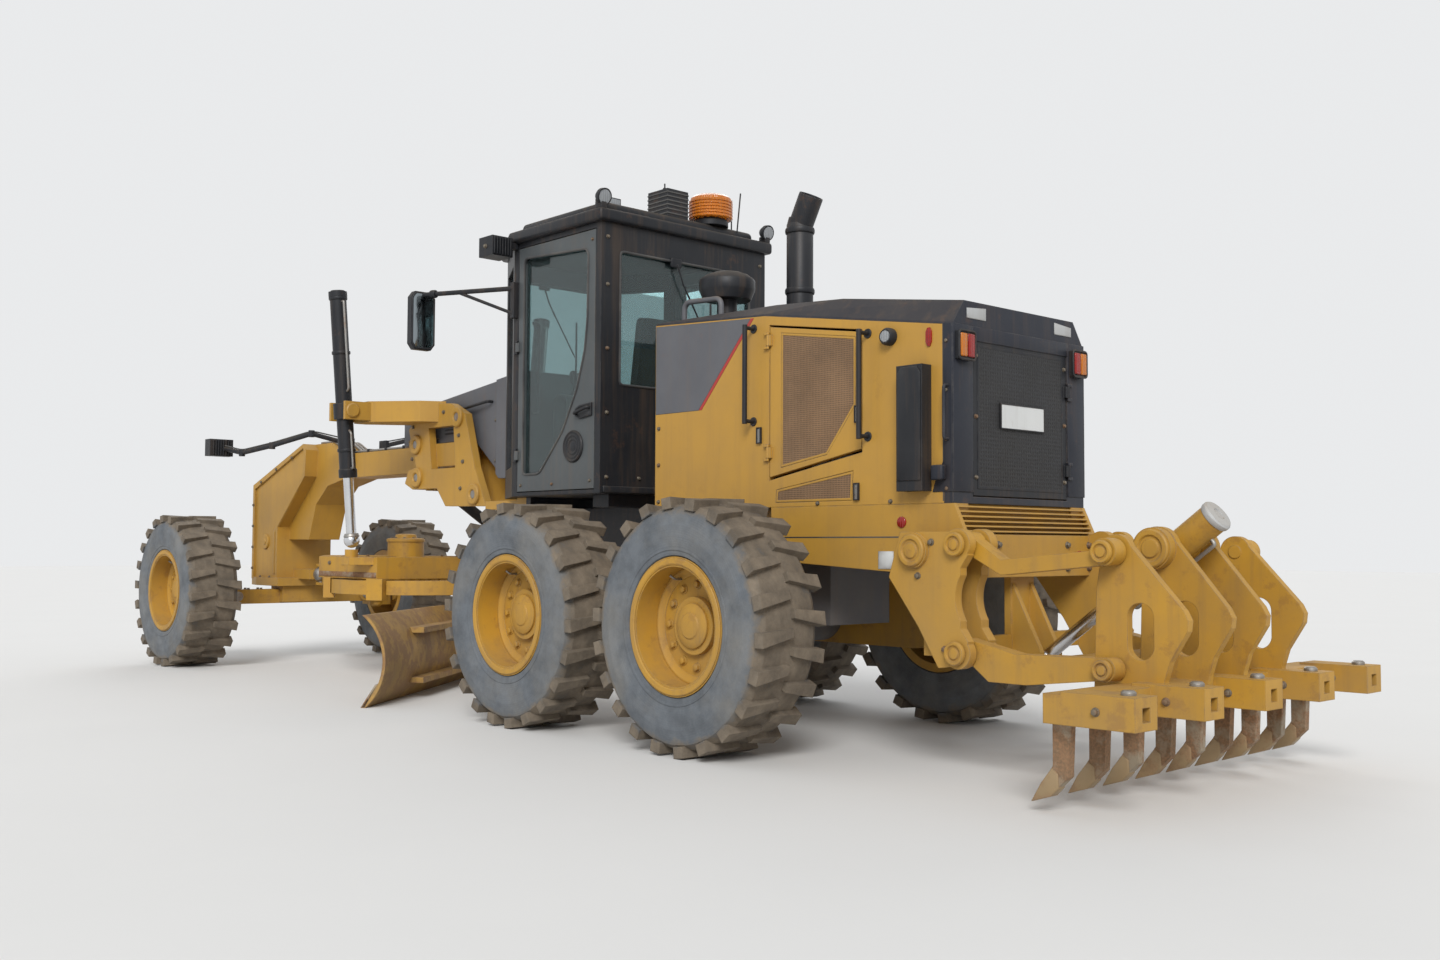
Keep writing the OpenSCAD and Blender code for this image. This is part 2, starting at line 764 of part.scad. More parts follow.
module cab_glass() {
    half = 4;
    on_machine() color([0.5, 0.7, 0.75, 0.4]) {
        intersection() {
            cab_windows(half + cab_wall / 2);
            block([cab_front - cab_wall / 2 - half, -600, 1600 + pin_fit],
                [cab_front - cab_wall / 2 + half, 600, cab_head - pin_fit]);
        }
        both_sides() corner_box(half);
        block([cab_rear + cab_wall / 2 - half, -560 + pin_fit, 2080 + pin_fit],
              [cab_rear + cab_wall / 2 + half, 560 - pin_fit, cab_head - 40 - pin_fit]);
    }
}

module cab_interior() {
    floor_z = cab_base + cab_floor;
    on_machine() color(GREY) {
        block([900, -240, floor_z], [1250, 240, floor_z + 330]);
        block([870, -260, floor_z + 330], [1350, 260, floor_z + 450]);
        translate([900, 0, floor_z + 440]) rotate([0, -8, 0]) block([-60, -240, 0], [60, 240, 680]);
        both_sides() block([950, 290, floor_z + 380], [1420, 380, floor_z + 640]);
        both_sides() block([950, 240, floor_z + 380], [1050, 300, floor_z + 450]);
        block([1700, -150, floor_z], [1880, 150, floor_z + 700]);
    }
}

module cab_door(side) {
    on_machine() on_side(side) color(GREY) difference() {
        union() {
            plate_xz(cab_half - cab_wall, cab_half) cab_door_outline(0);
            for (z = cab_hinge_z) hinge_eye(cab_hinge[0], cab_hinge[1], z);
        }
        plate_xz(cab_half - cab_wall - 1, cab_half + 1) cab_pane_outline();
        for (z = cab_hinge_z) hinge_bore(cab_hinge[0], cab_hinge[1], z);
    }
}

mirror_root = cab_half + 36;
module cab_fittings() {
    on_machine() color(BLACK) {
        // mirrors on their arms
        both_sides() {
            block([cab_corner - 48, cab_half + pin_fit, 2590], [cab_corner - 4, mirror_root, 2830]);
            rod_between([cab_corner - 26, mirror_root - 12, 2790], [2180, 1060, 2790], 16);
            rod_between([cab_corner - 26, mirror_root - 12, 2620], [1900, 918, 2786], 11);
            plate_yz(2150, 2200) polygon([
                [955, 2450], [985, 2410], [1110, 2410], [1140, 2450], [1140, 2770], [1110, 2810],
                [985, 2810], [955, 2770]
            ]);
        }
        // headlamps on their bent arms
        both_sides() {
            for (i = [0 : len(lamp_arm) - 2]) rod_between(lamp_arm[i], lamp_arm[i + 1], 20);
            for (i = [1 : len(lamp_arm) - 2]) translate(lamp_arm[i])
                cylinder(r = 26, h = 58, center = true);
            block([4810, beam_half + pin_fit, 1700], [4930, beam_half + 32, 2000]);
            block([5880, 780, 1860], [5990, 990, 2010]);
        }
        // roof: radio box, work lamp and aerials
        block([700, -90, cab_top + 150], [900, 90, 3430]);
        block([1350, 40, cab_top + 150], [1420, 60, 3400]);
        block([1330, -20, 3400], [1440, 120, 3490]);
        both_sides() block([1500, 760, 2990], [1660, 920, 3120]);
        both_sides() block([1500, cab_half + 5, 3050], [1560, 775, cab_top]);
    }
}

module beacon() {
    on_machine() color("orange") {
        bar_z(740, -330, cab_top + 150 + pin_fit, 3300, 120);
        bar_z(740, -330, 3290, 3450, 150);
    }
}

module lift_arms() {
    on_machine() color(YELLOW) difference() {
        union() {
            both_sides() {
                difference() {
                    plate_xz(300, 360) polygon([
                        [2400, 1360], [2960, 1370], [3090, 1510], [3450, 1510], [3570, 1560],
                        [3520, 1660], [3400, 1680],
                        [3520, 1980], [3300, 2180], [2900, 2150], [2700, 2060], [2560, 1650]
                    ]);
                    plate_xz(290, 370) polygon([[2830, 1660], [3170, 1660], [3220, 1980], [2860, 1980]]);
                }
                plate_xz(beam_half + pin_fit, 305) polygon([[2800, 1680], [3250, 1680], [3250, 1860],
                    [2800, 1860]]);
                plate_xy(collar_z - 80, collar_z + 80) polygon([
                    [3050, 310], [3480, 310], [lift_x + 110, 640], [lift_x + 110, 740],
                    [lift_x - 110, 740], [3150, 480]
                ]);
                for (s = [-1, 1])
                    block([lift_x + s * 115 - 15, 700, collar_z - 70],
                        [lift_x + s * 115 + 15, collar_y + 60, collar_z + 70]);
            }
            // link bar under the beam, and the ears of the centre shift cylinder
            block([shift_x + 60, -305, 1510], [shift_x + 170, 305, 1590]);
            for (s = [-1, 1]) block([shift_x + s * 62 - 10, 165, 1500], [shift_x + s * 62 + 10, 305, 1590]);
        }
        both_sides() bar_x(lift_x - 140, lift_x + 140, collar_y, collar_z, collar_pin_r + pin_fit);
        bar_x(shift_x - 90, shift_x + 90, shift_top[1], shift_top[2], shift_pin_r + pin_fit);
    }
}

collar_pin_r = 34;
shift_pin_r = 22;
shift_x = 3270;
shift_top = [shift_x, 210, 1540];
shift_low = [shift_x, -600, 1000];

// Lift cylinders hang in their collars and lean inward towards their eyes.
lift_top = [lift_x, collar_y, collar_z];
lift_low = [lift_x, lift_eye_y, lift_eye_z];
lift_lean = atan2(collar_y - lift_eye_y, collar_z - lift_eye_z);

// Draws along a lift cylinder: its collar is at the origin and Z runs up along the barrel.
module on_lift(side) {
    on_machine() on_side(side) translate(lift_top) rotate([-lift_lean, 0, 0]) children();
}

module lift_barrel(side) {
    on_lift(side) color(BLACK) difference() {
        union() {
            translate([0, 0, -500]) cylinder(r = lift_r, h = 1390);
            translate([0, 0, -60]) cylinder(r = lift_r + 20, h = 120);
            rotate([0, 90, 0]) translate([0, 0, -128]) cylinder(r = collar_pin_r, h = 256);
            translate([0, 0, 880]) cylinder(r = lift_r + 8, h = 40);
        }
        translate([0, 0, -501]) cylinder(r = lift_rod_r + pin_fit, h = 1360);
    }
}

module lift_rod(side) {
    reach = norm(lift_top - lift_low);
    on_lift(side) color(STEEL) {
        translate([0, 0, -reach + 30]) cylinder(r = lift_rod_r, h = reach - 30 + 330);
        translate([0, 0, -reach]) sphere(r = lift_eye_r);
    }
}

// Drawbar, circle and blade

lift_eye_r = 60;
shoe_gap = pin_fit;
drawbar_low = circle_z + circle_h + run_gap;
drawbar_top = drawbar_low + drawbar_h;

// The ball under the nose carries the drawbar on an upright pin, so the drawbar lifts and swings.
module drawbar_ball() {
    on_machine() color(STEEL) {
        translate([ball_x, 0, ball_z]) sphere(r = ball_r);
        bar_z(ball_x, 0, ball_z - ball_r - 27, ball_z + ball_r + 27, ball_pin_r);
    }
}

module drawbar() {
    ear_in = ball_r + 2;
    ear_out = ball_r + 27;
    on_machine() color(YELLOW) difference() {
        union() {
            // fork round the ball
            for (z = [[-ear_out, -ear_in], [ear_in, ear_out]]) {
                bar_z(ball_x, 0, ball_z + z[0], ball_z + z[1], 45);
                block([ball_x - 150, -45, ball_z + z[0]], [ball_x, 45, ball_z + z[1]]);
            }
            plate_xy(ball_z - ear_out, ball_z + ear_out)
                polygon([[ball_x - 110, -45], [ball_x - 110, 45], [5350, 130], [5350, -130]]);
            // two side beams that spread to the circle
            both_sides() plate_xy(drawbar_low, drawbar_top) polygon([
                [5420, 0], [5420, 110], [4350, 690], [3390, 690], [3390, 560], [4250, 560], [5150, 60],
                [5150, 0]
            ]);
            block([3390, -690, drawbar_low], [3520, 690, drawbar_top]);
            block([4100, -600, drawbar_low], [4240, 600, drawbar_top]);
            // housing of the circle's drive
            bar_z(4170, 0, drawbar_low, drawbar_top + 130, 150);
            // lug and pin that the shift cylinder pushes
            plate_yz(3390, 3425) polygon([[-670, drawbar_low], [-530, drawbar_low], [-560, 1030],
                [-640, 1030]]);
            bar_x(3350, 3400, shift_low[1], shift_low[2], 22);
            // pads under the lift rods' ends
            both_sides() {
                plate_xy(drawbar_top - 60, drawbar_top) polygon([
                    [3400, 600], [3780, 600], [lift_x + 60, lift_eye_y + 55], [lift_x - 60, lift_eye_y + 55]
                ]);
                bar_z(lift_x, lift_eye_y, drawbar_top - 1, lift_eye_z - lift_eye_r - 12, 50);
            }
            // shoes that hold the circle
            for (a = [60, 120, 240, 300]) translate([circle_x, 0, 0]) rotate([0, 0, a])
                difference() {
                    block([circle_r - 27, -70, circle_z - 40], [circle_r + 60, 70, drawbar_low + 5]);
                    block([circle_r - 90, -80, circle_z - shoe_gap],
                        [circle_r + shoe_gap + 3, 80, drawbar_low]);
                }
        }
        bar_z(ball_x, 0, ball_z - 200, ball_z + 200, ball_pin_r + pin_fit);
    }
}

// Draws in the circle's own axes: X forward, turned with the blade.
module on_circle() {
    on_machine() translate([circle_x, 0, 0]) rotate([0, 0, blade_yaw]) children();
}

// Places in the circle's own axes: the hinge on which the blade tips, and the tipping cylinder's ends
tip_x = -blade_back - 270;
tip_z = 200;
tip_pin_r = 35;
leg_y = 450;
leg_half = 25;
ram_top = [-740, 615];
ram_low = [-750, 200];
ram_pin_r = 16;
side_ram = [-blade_back - 182, 305];
side_ram_r = 34;
side_rod_r = 20;
rail_half = 20;
rail_z = [130, 480];
rail_back = -blade_back - 190;
teeth = 48;
tooth_h = 22;

// The ring's bore, with its teeth standing into it
module circle_bore() {
    bore_r = circle_r - circle_w;
    step = 360 / teeth;
    polygon([
        for (k = [0 : teeth - 1]) for (c = [[0, 0], [0.4, 0], [0.55, tooth_h], [0.85, tooth_h]])
            (bore_r - c[1]) * [cos((k + c[0]) * step), sin((k + c[0]) * step)]
    ]);
}

module circle_ring() {
    on_circle() color(YELLOW) difference() {
        union() {
            difference() {
                bar_z(0, 0, circle_z, circle_z + circle_h, circle_r);
                plate_xy(circle_z - 1, circle_z + circle_h + 1) circle_bore();
            }
            // legs that carry the blade
            both_sides() plate_xz(leg_y - leg_half, leg_y + leg_half) polygon([
                [-430, circle_z + 12], [-540, circle_z + 12], [-540, 640], [-690, 440], [-690, 130],
                [tip_x + 30, 130], [tip_x + 30, 560], [-430, 632]
            ]);
            block([-500, -leg_y, 632], [-430, leg_y, circle_z + 12]);
            // ears of the tipping cylinder
            both_sides() plate_xz(45, 65) polygon([
                [-490, circle_z + 2], [-715, circle_z + 2], [-715, 640], [-775, 640], [-775, 585],
                [-700, 585], [-490, 640]
            ]);
        }
        both_sides() bar_y(tip_x, leg_y - 60, leg_y + 60, tip_z, tip_pin_r + pin_fit);
        bar_y(ram_top[0], -80, 80, ram_top[1], ram_pin_r + pin_fit);
    }
}

module blade_mount() {
    guide_gap = 6;
    on_circle() color(YELLOW) difference() {
        union() {
            bar_y(tip_x, -leg_y - 95, leg_y + 95, tip_z, tip_pin_r);
            both_sides() {
                for (y = [leg_y - 110, leg_y + 50]) plate_xz(y, y + 40) polygon([
                    [tip_x - 55, 150], [tip_x - 20, 100], [-478, 85], [-478, 530], [-530, 530],
                    [tip_x - 30, 260]
                ]);
                // lever that the tipping cylinder pushes
                plate_xz(30, 50) polygon([[tip_x, 165], [tip_x, 235], [ram_low[0] - 30, 225],
                    [ram_low[0] - 30, 175]]);
            }
            // cylinder that shifts the blade sideways
            bar_y(side_ram[0], -760, leg_y + 30, side_ram[1], side_ram_r);
        }
        bar_y(side_ram[0], -761, leg_y + 28, side_ram[1], side_rod_r + pin_fit);
        for (z = rail_z)
            block([rail_back - guide_gap, -600, z - rail_half - guide_gap],
                [-470, 600, z + rail_half + guide_gap]);
    }
}

// The blade's section: X forward, Z up, with its edge on the ground
module blade_section() {
    rise = blade_h / 2;
    run = sqrt(blade_arc * blade_arc - rise * rise);
    intersection() {
        difference() {
            translate([run, rise]) circle(r = blade_arc, $fn = 96);
            translate([run, rise]) circle(r = blade_arc - blade_t, $fn = 96);
        }
        translate([-200, 0]) square([260, blade_h]);
    }
    // cutting edge
    polygon([[0, 0], [26, 0], [-74, 150], [-98, 140]]);
}

module blade() {
    eye_y = -1300;
    rod_len = 1255;
    on_circle() translate([0, blade_shift, 0]) color(RUST) {
        translate([-blade_back, 0, 0]) plate_xz(-blade_len / 2, blade_len / 2) blade_section();
        // rails in the mount's guides
        for (z = rail_z) block([rail_back, -1250, z - rail_half], [-blade_back - 82, 1250, z + rail_half]);
        // lug and rod of the cylinder that shifts the blade
        block([rail_back - 30, eye_y - 20, side_ram[1] - 35],
            [-blade_back - 125, eye_y + 20, side_ram[1] + 35]);
        bar_y(side_ram[0], eye_y, eye_y + rod_len, side_ram[1], side_rod_r);
    }
}

// Draws along the tipping cylinder: its upper pin is at the origin and Z runs up.
module on_ram() {
    d = ram_top - ram_low;
    on_circle() translate([ram_top[0], 0, ram_top[1]]) rotate([0, atan2(d[0], d[1]), 0]) children();
}

module tip_barrel() {
    on_ram() color(BLACK) difference() {
        union() {
            translate([0, 0, -225]) cylinder(r = 34, h = 245);
            bar_y(0, -64, 64, 0, ram_pin_r);
        }
        translate([0, 0, -226]) cylinder(r = 18 + pin_fit, h = 205);
    }
}

module tip_rod() {
    reach = norm(ram_top - ram_low);
    on_ram() color(STEEL) {
        translate([0, 0, -reach + 10]) cylinder(r = 18, h = reach - 10 - 140);
        bar_y(0, -20, 20, -reach, 30);
    }
}

// Draws along the cylinder that shifts the drawbar: its upper pin is at the origin and Z runs up.
module on_shift() {
    d = shift_top - shift_low;
    on_machine() translate(shift_top) rotate([-atan2(d[1], d[2]), 0, 0]) children();
}

module shift_barrel() {
    on_shift() color(BLACK) difference() {
        union() {
            translate([0, 0, -660]) cylinder(r = 42, h = 730);
            bar_x(-73, 73, 0, 0, shift_pin_r);
        }
        translate([0, 0, -661]) cylinder(r = 24 + pin_fit, h = 706);
    }
}

module shift_rod() {
    reach = norm(shift_top - shift_low);
    on_shift() color(STEEL) {
        translate([0, 0, -reach + 20]) cylinder(r = 24, h = reach - 20 - 240);
        bar_x(-42, 42, 0, -reach, 42);
    }
}

// Front axle

lean_pin_r = 30;
steer_arm = 230;
tie_z = axle_z - 25;
tie_ball_r = 26;
tie_pin_r = 11;
tie_cross_r = 9;
boss_z0 = axle_z - 60;
boss_z1 = axle_z + 190;

module front_axle() {
    on_machine() color(YELLOW) difference() {
        union() {
            block([wheelbase - 58, -lean_y, axle_z - 70], [wheelbase + 58, lean_y, axle_z + 60]);
            block([wheelbase - 120, -230, axle_z - 60], [wheelbase + 120, 230, shelf_z - pin_fit]);
            both_sides() bar_x(wheelbase - 58, wheelbase + 58, lean_y, axle_z, 70);
        }
        both_sides() bar_x(wheelbase - 60, wheelbase + 60, lean_y, axle_z, lean_pin_r + pin_fit);
    }
}

module lean_yoke(side) {
    on_machine() on_side(side) color(YELLOW) difference() {
        union() {
            bar_x(wheelbase - 100, wheelbase + 100, lean_y, axle_z, lean_pin_r);
            for (s = [-1, 1]) {
                bar_x(wheelbase + s * 80 - 15, wheelbase + s * 80 + 15, lean_y, axle_z, 68);
                block([wheelbase + s * 80 - 15, lean_y, axle_z - 50],
                    [wheelbase + s * 80 + 15, king_y - 30, axle_z + 90]);
            }
            block([wheelbase - 95, king_y - 70, boss_z0], [wheelbase + 95, king_y - 20, axle_z + 130]);
            bar_z(wheelbase, king_y, boss_z0, boss_z1, 68);
        }
        bar_z(wheelbase, king_y, boss_z0 - 10, boss_z1 + 10, king_r + pin_fit);
    }
}

module spindle(side) {
    ear_t = 45;
    arm_r = 25;
    ear_low = boss_z0 - 7 - ear_t;
    on_machine() on_side(side) color(YELLOW) {
        bar_z(wheelbase, king_y, ear_low, boss_z1 + 7 + ear_t, king_r);
        for (z = [ear_low, boss_z1 + 7]) {
            bar_z(wheelbase, king_y, z, z + ear_t, 68);
            block([wheelbase - 60, king_y, z], [wheelbase + 60, king_y + 110, z + ear_t]);
        }
        block([wheelbase - 60, king_y + 80, ear_low], [wheelbase + 60, king_y + 120, boss_z1 + 7 + ear_t]);
        bar_y(wheelbase, king_y + 110, wheel_y + disc_back - pin_fit, tyre_r, 85);
        // steering arm with its upright pin; the right pin ends in a fixed ball
        block([wheelbase, king_y - arm_r, ear_low], [wheelbase + steer_arm, king_y + arm_r, boss_z0 - 20]);
        bar_z(wheelbase + steer_arm, king_y, ear_low, boss_z0 - 20, arm_r);
        bar_z(wheelbase + steer_arm, king_y, ear_low + 1, tie_z + tie_ball_r + 10, tie_pin_r);
        if (side < 0) translate([wheelbase + steer_arm, king_y, tie_z]) sphere(r = tie_ball_r);
    }
}

// The ball on the left steering arm, with the cross pin on which the tie rod tilts
module tie_ball() {
    at = [wheelbase + steer_arm, king_y];
    on_machine() color(STEEL) difference() {
        union() {
            translate([at[0], at[1], tie_z]) sphere(r = tie_ball_r);
            bar_x(at[0] - 46, at[0] + 46, at[1], tie_z, tie_cross_r);
        }
        bar_z(at[0], at[1], tie_z - 50, tie_z + 50, tie_pin_r + pin_fit);
    }
}

module tie_rod() {
    x = wheelbase + steer_arm;
    ear_in = tie_ball_r + 5;
    ear_out = ear_in + 11;
    on_machine() color(BLACK) difference() {
        union() {
            bar_y(x, -king_y + 60, king_y - 60, tie_z, 22);
            both_sides() {
                block([x - ear_out, king_y - 75, tie_z - 20], [x + ear_out, king_y - 48, tie_z + 20]);
                for (e = [[-ear_out, -ear_in], [ear_in, ear_out]]) {
                    block([x + e[0], king_y - 60, tie_z - 18], [x + e[1], king_y, tie_z + 18]);
                    bar_x(x + e[0], x + e[1], king_y, tie_z, 20);
                }
            }
        }
        bar_x(x - 60, x + 60, king_y, tie_z, tie_cross_r + pin_fit);
    }
}

// Ripper

rip_rear_x = rip_x - rip_reach;
rip_rear_low = rip_low_z - rip_drop;
rip_rear_up = rip_up_z - rip_drop;
link_end_r = 52;
link_y0 = 575;
link_y1 = 662;

module ripper_lower_link() {
    on_machine() color(YELLOW) difference() {
        union() {
            both_sides() plate_xz(link_y0, link_y1) {
                translate([rip_x, rip_low_z]) circle(r = 66);
                translate([rip_rear_x, rip_rear_low]) circle(r = link_end_r);
                polygon([
                    [rip_x - 10, rip_low_z + 64], [rip_x - 40, rip_low_z - 58],
                    [rip_x - 130, rip_low_z - 125],
                    [rip_x - 330, rip_low_z - 125], [rip_rear_x + 20, rip_rear_low - link_end_r + 4],
                    [rip_rear_x, rip_rear_low + link_end_r - 2], [rip_x - 280, rip_low_z + 10]
                ]);
            }
            bar_y(rip_x - 230, -600, 600, rip_low_z - 75, 50);
        }
        both_sides() {
            bar_y(rip_x, 560, 680, rip_low_z, rip_pin_r + pin_fit);
            bar_y(rip_rear_x, 560, 680, rip_rear_low, rip_pin_r + pin_fit);
        }
    }
}

module ripper_upper_links() {
    on_machine() color(YELLOW) both_sides() difference() {
        plate_xz(link_y0, link_y1) {
            translate([rip_x, rip_up_z]) circle(r = 60);
            translate([rip_rear_x, rip_rear_up]) circle(r = 60);
            polygon([
                [rip_x, rip_up_z + 58], [rip_x - 30, rip_up_z - 52], [rip_x - 200, rip_up_z - 140],
                [rip_rear_x, rip_rear_up - 58],
                [rip_rear_x, rip_rear_up + 10], [rip_x - 200, rip_up_z - 70]
            ]);
        }
        bar_y(rip_x, 560, 680, rip_up_z, rip_pin_r + pin_fit);
        bar_y(rip_rear_x, 560, 680, rip_rear_up, rip_pin_r + pin_fit);
    }
}

trunnion = [rip_rear_x + 20, rip_rear_up + 15];

module carriage_plate(y0, y1, top, boss_r) {
    difference() {
        plate_xz(y0, y1) {
            translate(top) circle(r = boss_r);
            polygon([
                [rip_rear_x + 110, 470], [rip_rear_x + 96, 900], [top[0] + boss_r * 0.92, top[1] - 20],
                [top[0] - boss_r * 0.7, top[1] + boss_r * 0.6], [rip_rear_x - 315, 815],
                [rip_rear_x - 335, 775],
                [rip_rear_x - 330, 730], [rip_rear_x - 250, 600], [rip_rear_x - 225, 520],
                [rip_rear_x - 220, 470]
            ]);
        }
        translate([rip_rear_x - 115, y1 + 1, 720]) rotate([90, 0, 0]) linear_extrude(y1 - y0 + 2) {
            translate([0, 60]) circle(r = 62);
            translate([0, -60]) circle(r = 62);
            translate([-62, -60]) square([124, 120]);
        }
    }
}

module ripper_carriage() {
    on_machine() color(YELLOW) {
        difference() {
            union() {
                both_sides() {
                    carriage_plate(520, 562, [rip_rear_x, rip_rear_up], 76);
                    carriage_plate(140, 182, trunnion, 100);
                    bar_y(rip_rear_x, 515, link_y1 + 12, rip_rear_low, rip_pin_r);
                    bar_y(rip_rear_x, 515, link_y1 + 12, rip_rear_up, rip_pin_r);
                    bar_y(trunnion[0], 140, 230, trunnion[1], 95);
                }
            }
            bar_y(trunnion[0], -300, 200, trunnion[1], 45 + pin_fit);
        }
        block([rip_rear_x - 190, -rip_half, rip_beam_z], [rip_rear_x - 20, rip_half, rip_beam_z + 120]);
        for (k = [-2 : 2])
            difference() {
                block([rip_block_rear, k * pocket_pitch - 82, rip_beam_z],
                    [rip_rear_x - 100, k * pocket_pitch + 82, rip_beam_z + 132]);
                block([rip_block_rear - 1, k * pocket_pitch - 28, rip_beam_z + 34],
                    [rip_rear_x - 195, k * pocket_pitch + 28, rip_beam_z + 90]);
            }
    }
}

module ripper_teeth() {
    on_machine() color(RUST) for (k = [-4 : 4])
        plate_xz(k * pocket_pitch / 2 - 22, k * pocket_pitch / 2 + 22) polygon([
            [rip_rear_x - 105, rip_beam_z - pin_fit], [rip_rear_x - 25, rip_beam_z - pin_fit],
            [rip_rear_x - 25, 200],
            [rip_rear_x + 25, 120], [rip_rear_x + 75, tip_clear], [rip_rear_x - 15, 80],
            [rip_rear_x - 95, 160]
        ]);
}

rip_eye = [rip_x + 20, 520];
rip_cyl_dir = trunnion - rip_eye;
rip_cyl_tilt = atan2(rip_cyl_dir[1], rip_cyl_dir[0]);

// Draws along the ripper's cylinder: its trunnion is at the origin and X runs to the barrel's cap.
module on_ripper_cylinder() {
    on_machine() translate([trunnion[0], 0, trunnion[1]]) rotate([0, -rip_cyl_tilt, 0]) children();
}

module ripper_barrel() {
    on_ripper_cylinder() color(YELLOW) difference() {
        union() {
            bar_x(-400, 230, 0, 0, 72);
            bar_y(0, -178, 178, 0, 45);
        }
        bar_x(-401, 205, 0, 0, 32 + pin_fit);
    }
}

module ripper_rod() {
    reach = norm(rip_cyl_dir);
    on_ripper_cylinder() color(STEEL) {
        bar_x(-reach + 40, -60, 0, 0, 32);
        bar_y(-reach, -45, 45, 0, 50);
    }
}

// Every node, drawn by its own name
module tyre_rear_left() { wheel_at(-tandem_pitch / 2, 1) color(RUBBER) tyre(); }
module tyre_rear_right() { wheel_at(-tandem_pitch / 2, -1) color(RUBBER) tyre(); }
module tyre_mid_left() { wheel_at(tandem_pitch / 2, 1) color(RUBBER) tyre(); }
module tyre_mid_right() { wheel_at(tandem_pitch / 2, -1) color(RUBBER) tyre(); }
module tyre_front_left() { wheel_at(wheelbase, 1) color(RUBBER) tyre(); }
module tyre_front_right() { wheel_at(wheelbase, -1) color(RUBBER) tyre(); }
module rim_rear_left() { wheel_at(-tandem_pitch / 2, 1) color(YELLOW) rim(1); }
module rim_rear_right() { wheel_at(-tandem_pitch / 2, -1) color(YELLOW) rim(-1); }
module rim_mid_left() { wheel_at(tandem_pitch / 2, 1) color(YELLOW) rim(1); }
module rim_mid_right() { wheel_at(tandem_pitch / 2, -1) color(YELLOW) rim(-1); }
module rim_front_left() { wheel_at(wheelbase, 1) color(YELLOW) rim(1); }
module rim_front_right() { wheel_at(wheelbase, -1) color(YELLOW) rim(-1); }
module engine_door_left() { engine_door(1); }
module engine_door_right() { engine_door(-1); }
module cab_door_left() { cab_door(1); }
module cab_door_right() { cab_door(-1); }
module lift_barrel_left() { lift_barrel(1); }
module lift_barrel_right() { lift_barrel(-1); }
module lift_rod_left() { lift_rod(1); }
module lift_rod_right() { lift_rod(-1); }
module circle_turntable() { circle_ring(); }
module lean_yoke_left() { lean_yoke(1); }
module lean_yoke_right() { lean_yoke(-1); }
module spindle_left() { spindle(1); }
module spindle_right() { spindle(-1); }

rear_frame();
driveline();
tandem_cases();
hood();
hood_cap();
stacks();
rear_lamps();
hood_rails();
engine_door_left();
engine_door_right();
rear_screen();
tyre_rear_left();
tyre_rear_right();
tyre_mid_left();
tyre_mid_right();
rim_rear_left();
rim_rear_right();
rim_mid_left();
rim_mid_right();
front_frame();
front_cover();
cab_shell();
cab_roof();
cab_glass();
cab_interior();
cab_door_left();
cab_door_right();
cab_fittings();
beacon();
lift_arms();
lift_barrel_left();
lift_barrel_right();
lift_rod_left();
lift_rod_right();
drawbar_ball();
drawbar();
circle_turntable();  // circle
blade_mount();
blade();
tip_barrel();
tip_rod();
shift_barrel();
shift_rod();
front_axle();
lean_yoke_left();
lean_yoke_right();
spindle_left();
spindle_right();
tie_ball();
tie_rod();
tyre_front_left();
tyre_front_right();
rim_front_left();
rim_front_right();
ripper_lower_link();
ripper_upper_links();
ripper_carriage();
ripper_teeth();
ripper_barrel();
ripper_rod();
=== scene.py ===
"""Motor grader: finishes, fittings, floor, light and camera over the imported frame."""
import logging
import math
from collections.abc import Iterable, Sequence
from dataclasses import dataclass, field
from enum import Enum

import bpy
from mathutils import Matrix, Vector


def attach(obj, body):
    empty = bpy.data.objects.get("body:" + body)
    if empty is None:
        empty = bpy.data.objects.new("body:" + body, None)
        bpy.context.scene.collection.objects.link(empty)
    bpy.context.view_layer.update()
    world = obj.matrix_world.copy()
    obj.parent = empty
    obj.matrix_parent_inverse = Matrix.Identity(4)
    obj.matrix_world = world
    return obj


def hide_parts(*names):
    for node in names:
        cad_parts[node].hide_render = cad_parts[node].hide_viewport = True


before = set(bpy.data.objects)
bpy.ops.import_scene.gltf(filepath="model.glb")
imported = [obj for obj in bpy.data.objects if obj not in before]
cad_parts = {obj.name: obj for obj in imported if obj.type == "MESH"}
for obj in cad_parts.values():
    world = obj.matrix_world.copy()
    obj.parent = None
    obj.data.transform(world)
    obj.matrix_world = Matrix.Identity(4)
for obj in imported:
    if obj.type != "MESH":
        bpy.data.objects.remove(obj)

logging.basicConfig(level=logging.INFO, format="%(message)s")
log = logging.getLogger("grader")

Point = tuple[float, float, float]
Pair = tuple[float, float]
Colour = tuple[float, float, float]
Sockets = bpy.types.bpy_prop_collection

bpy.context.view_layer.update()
# The machine's own X starts at the middle of the tandem; the frame's X starts further forward.
FRAME_X = 1.749
SIDE_NAMES = {1: "left", -1: "right"}
SIDES = tuple(SIDE_NAMES)
# Points closer than this are one point, in metres.
WELD = 0.00002
# How closely a face's normal must follow a direction to look that way.
FACING = 0.9
SHARP_ANGLE = math.radians(32)
BEND_STEPS = 6
TUBE_FINENESS = 3


class Plane(Enum):
    """The plane in which an outline is drawn; its value is the axis the outline is pulled along."""

    XZ = Vector((0, 1, 0))
    YZ = Vector((1, 0, 0))
    XY = Vector((0, 0, 1))


def placed(point: Sequence[float]) -> Vector:
    """Turn a place on the machine's axes into a place in the frame.

    Args:
        point: x, y and z on the machine's axes, in metres.

    Returns:
        The same place in the frame.
    """
    return Vector((point[0] - FRAME_X, point[1], point[2]))


